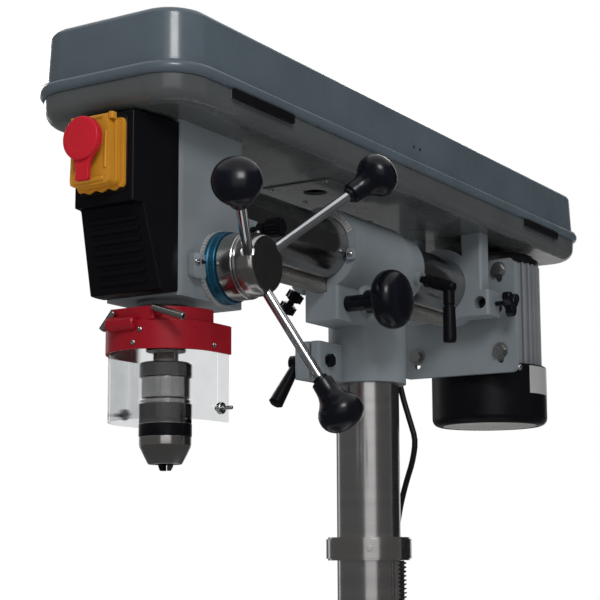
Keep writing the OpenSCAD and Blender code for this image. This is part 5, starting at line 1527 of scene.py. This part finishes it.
def ring_outline(inner, outer, start, end, count=24):
    """The outline of part of a flat ring round the ram's axis."""
    angles = [radians(start + (end - start) * i / count) for i in range(count + 1)]
    points = [(outer * cos(a), RAM_Z + outer * sin(a)) for a in angles]
    points += [(inner * cos(a), RAM_Z + inner * sin(a)) for a in reversed(angles)]
    return points + [points[0]]


scale = facing_front(outline_plate("tilt_scale", ring_outline(37.4, 44.6, 22, 96), 0.8), ARM_FRONT + 0.1)
soften(scale, 0.15)
finished(scale, body_of("arm_bracket"), pale_plate, "casting")
marks = []
for i in range(MARK_COUNT):
    outer = 44.2 if i % LONG_MARK_EVERY == 0 else 42.6
    start = MARK_START + MARK_STEP * i
    mark = outline_plate("mark", ring_outline(39.8, outer, start, start + MARK_WIDTH, 2), 0.25)
    marks.append(facing_front(mark, ARM_FRONT - 0.65))
finished(joined("tilt_scale_marks", marks), body_of("arm_bracket"), black_paint, "casting")
block = plate("tilt_pointer_block", (10, 12, 5), 2, (41, ARM_FRONT, 750), FORWARD)
finished(block, body_of("arm_bracket"), cast_paint, "casting")
block_screw = pan_screw("tilt_pointer_screw", (41, ARM_FRONT - 5, 750), FORWARD, height=2.4, turn=30)
finished(block_screw, body_of("arm_bracket"), zinc, "chrome")
print("tilt scale with", len(marks), "marks")


# %% Two small screws on the lid
lid_dots = [pan_screw("lid_screw", (88.4, y, 879), ACROSS, radius=2.0, height=1.2, turn=y)
            for y in (-44, -29)]
finished(joined("lid_screws", lid_dots), body_of("belt_lid"), dark_steel, "dark_steel")
print("screws on the lid", len(lid_dots))


# %% [markdown]
# All other parts keep the shape that the drawing gives them. The table below names each
# one with its finish, its slot and how far its edges are rounded in millimetres: about
# two on the big castings, a few tenths on machined steel, and nothing on gear teeth,
# whose own shape is finer than any rounding.

# %% Castings and machined parts
DRESSED = [
    ("base_casting", cast_paint, "casting", 1.5), ("column_flange", cast_paint, "casting", 0.8),
    ("base_screws", zinc, "steel", 0.3), ("column_tube", column_steel, "steel", 0.4),
    ("rack_collar", steel_up, "casting", 0.4), ("mains_plug", black_plastic, "black_plastic", 1.2),
    ("table_rack", steel_up, "steel", 0.0), ("table_bracket", cast_paint, "casting", 1.2),
    ("table_gear", plain_steel, "steel", 0.0), ("table_crank", zinc, "steel", 0.5),
    ("crank_grip", black_plastic, "black_plastic", 0.4), ("table_lock_lever", zinc, "steel", 0.5),
    ("table_plate", cast_paint, "casting", 1.0), ("arm_bracket", cast_paint, "casting", 2.0),
    ("arm_clamp_lever", black_plastic, "black_plastic", 0.5),
    ("star_screw", black_plastic, "black_plastic", 0.5), ("ram_pinion", plain_steel, "steel", 0.0),
    ("cord_gland", black_plastic, "black_plastic", 0.4), ("ram_rack", rack_steel, "steel", 0.0),
    ("ram_tube", ram_steel, "bright", 0.4), ("head_casting", cast_paint, "casting", 2.4),
    ("head_clamp_screw", black_plastic, "black_plastic", 0.5),
    ("spring_cap", black_paint, "black_plastic", 0.6), ("tail_bracket", cast_paint, "casting", 1.8),
    ("lid_hinges", black_paint, "black_metal", 0.3), ("motor_plate", cast_paint, "casting", 1.2),
    ("motor_bolts", zinc, "chrome", 0.3), ("motor_housing", motor_paint, "motor_metal", 0.4),
    ("motor_end_shield", black_paint, "black_metal", 0.8), ("slide_rods", dark_steel, "dark_steel", 0.3),
    ("motor_rotor", steel_up, "steel", 0.3), ("motor_pulley", cast_alloy, "motor_metal", 0.3),
    ("spindle_pulley", cast_alloy, "motor_metal", 0.3), ("feed_shaft", plain_steel, "steel", 0.0),
    # The guard collar shares the red that carries painted shade
    ("quill", steel_up, "steel", 0.2), ("guard_collar", guard_red_and_painted_shade, "red_plastic", 0.5),
    ("chuck_shield", clear_plastic, "clear", 0.3), ("spindle", steel_up, "steel", 0.2),
    ("chuck_jaws", dark_steel, "dark_steel", 0.2), ("start_button", green_plastic, "green_plastic", 0.5),
]
for node, finish, slot, edge in DRESSED:
    dressed(node, finish, slot, edge)
print("dressed CAD parts", len(DRESSED))


# %% [markdown]
# The teeth of the ram rack point down, but their ends also show as a comb of notches
# along both of its sides. They follow the pitch of the teeth, which is pi times the gear
# module. There are far too many to draw one by one, so one notch is modelled and copied,
# and all copies are cut out of the rack at once.

# %% Notches along both sides of the ram rack
RACK_MODULE, FIRST_NOTCH = 1.5, 4
rack = bpy.data.objects["ram_rack_dressed"]
pitch = RACK_MODULE * pi
rack_ends = [corner[1] / MM for corner in rack.bound_box]
rack_length = max(rack_ends) - min(rack_ends)
notch = plate("notch", (3.2, 2.5, 8), 0, (0, min(rack_ends) + FIRST_NOTCH, 717.8), edge=0)
comb = []
for i in range(int((rack_length - FIRST_NOTCH) / pitch)):
    for side in (-1, 1):
        step = Vector((side * 7.7, i * pitch, 0)) * MM
        comb.append(copied(notch, "notch_copy", Matrix.Translation(step)))
bpy.data.objects.remove(notch)
cut_by(rack, [joined("notches", comb)])
print("notches in the rack", len(comb))


# %% [markdown]
# The V-belt runs round both pulleys. The motor slides on its rods to tighten it, but the
# belt here is a rounded rubber copy that stays where the drawing puts it.

# %% The belt
belt = rounded_copy("v_belt", 0.3)
give_finish(belt, belt_rubber)
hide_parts("v_belt")
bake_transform(belt)
print_size("belt", belt)
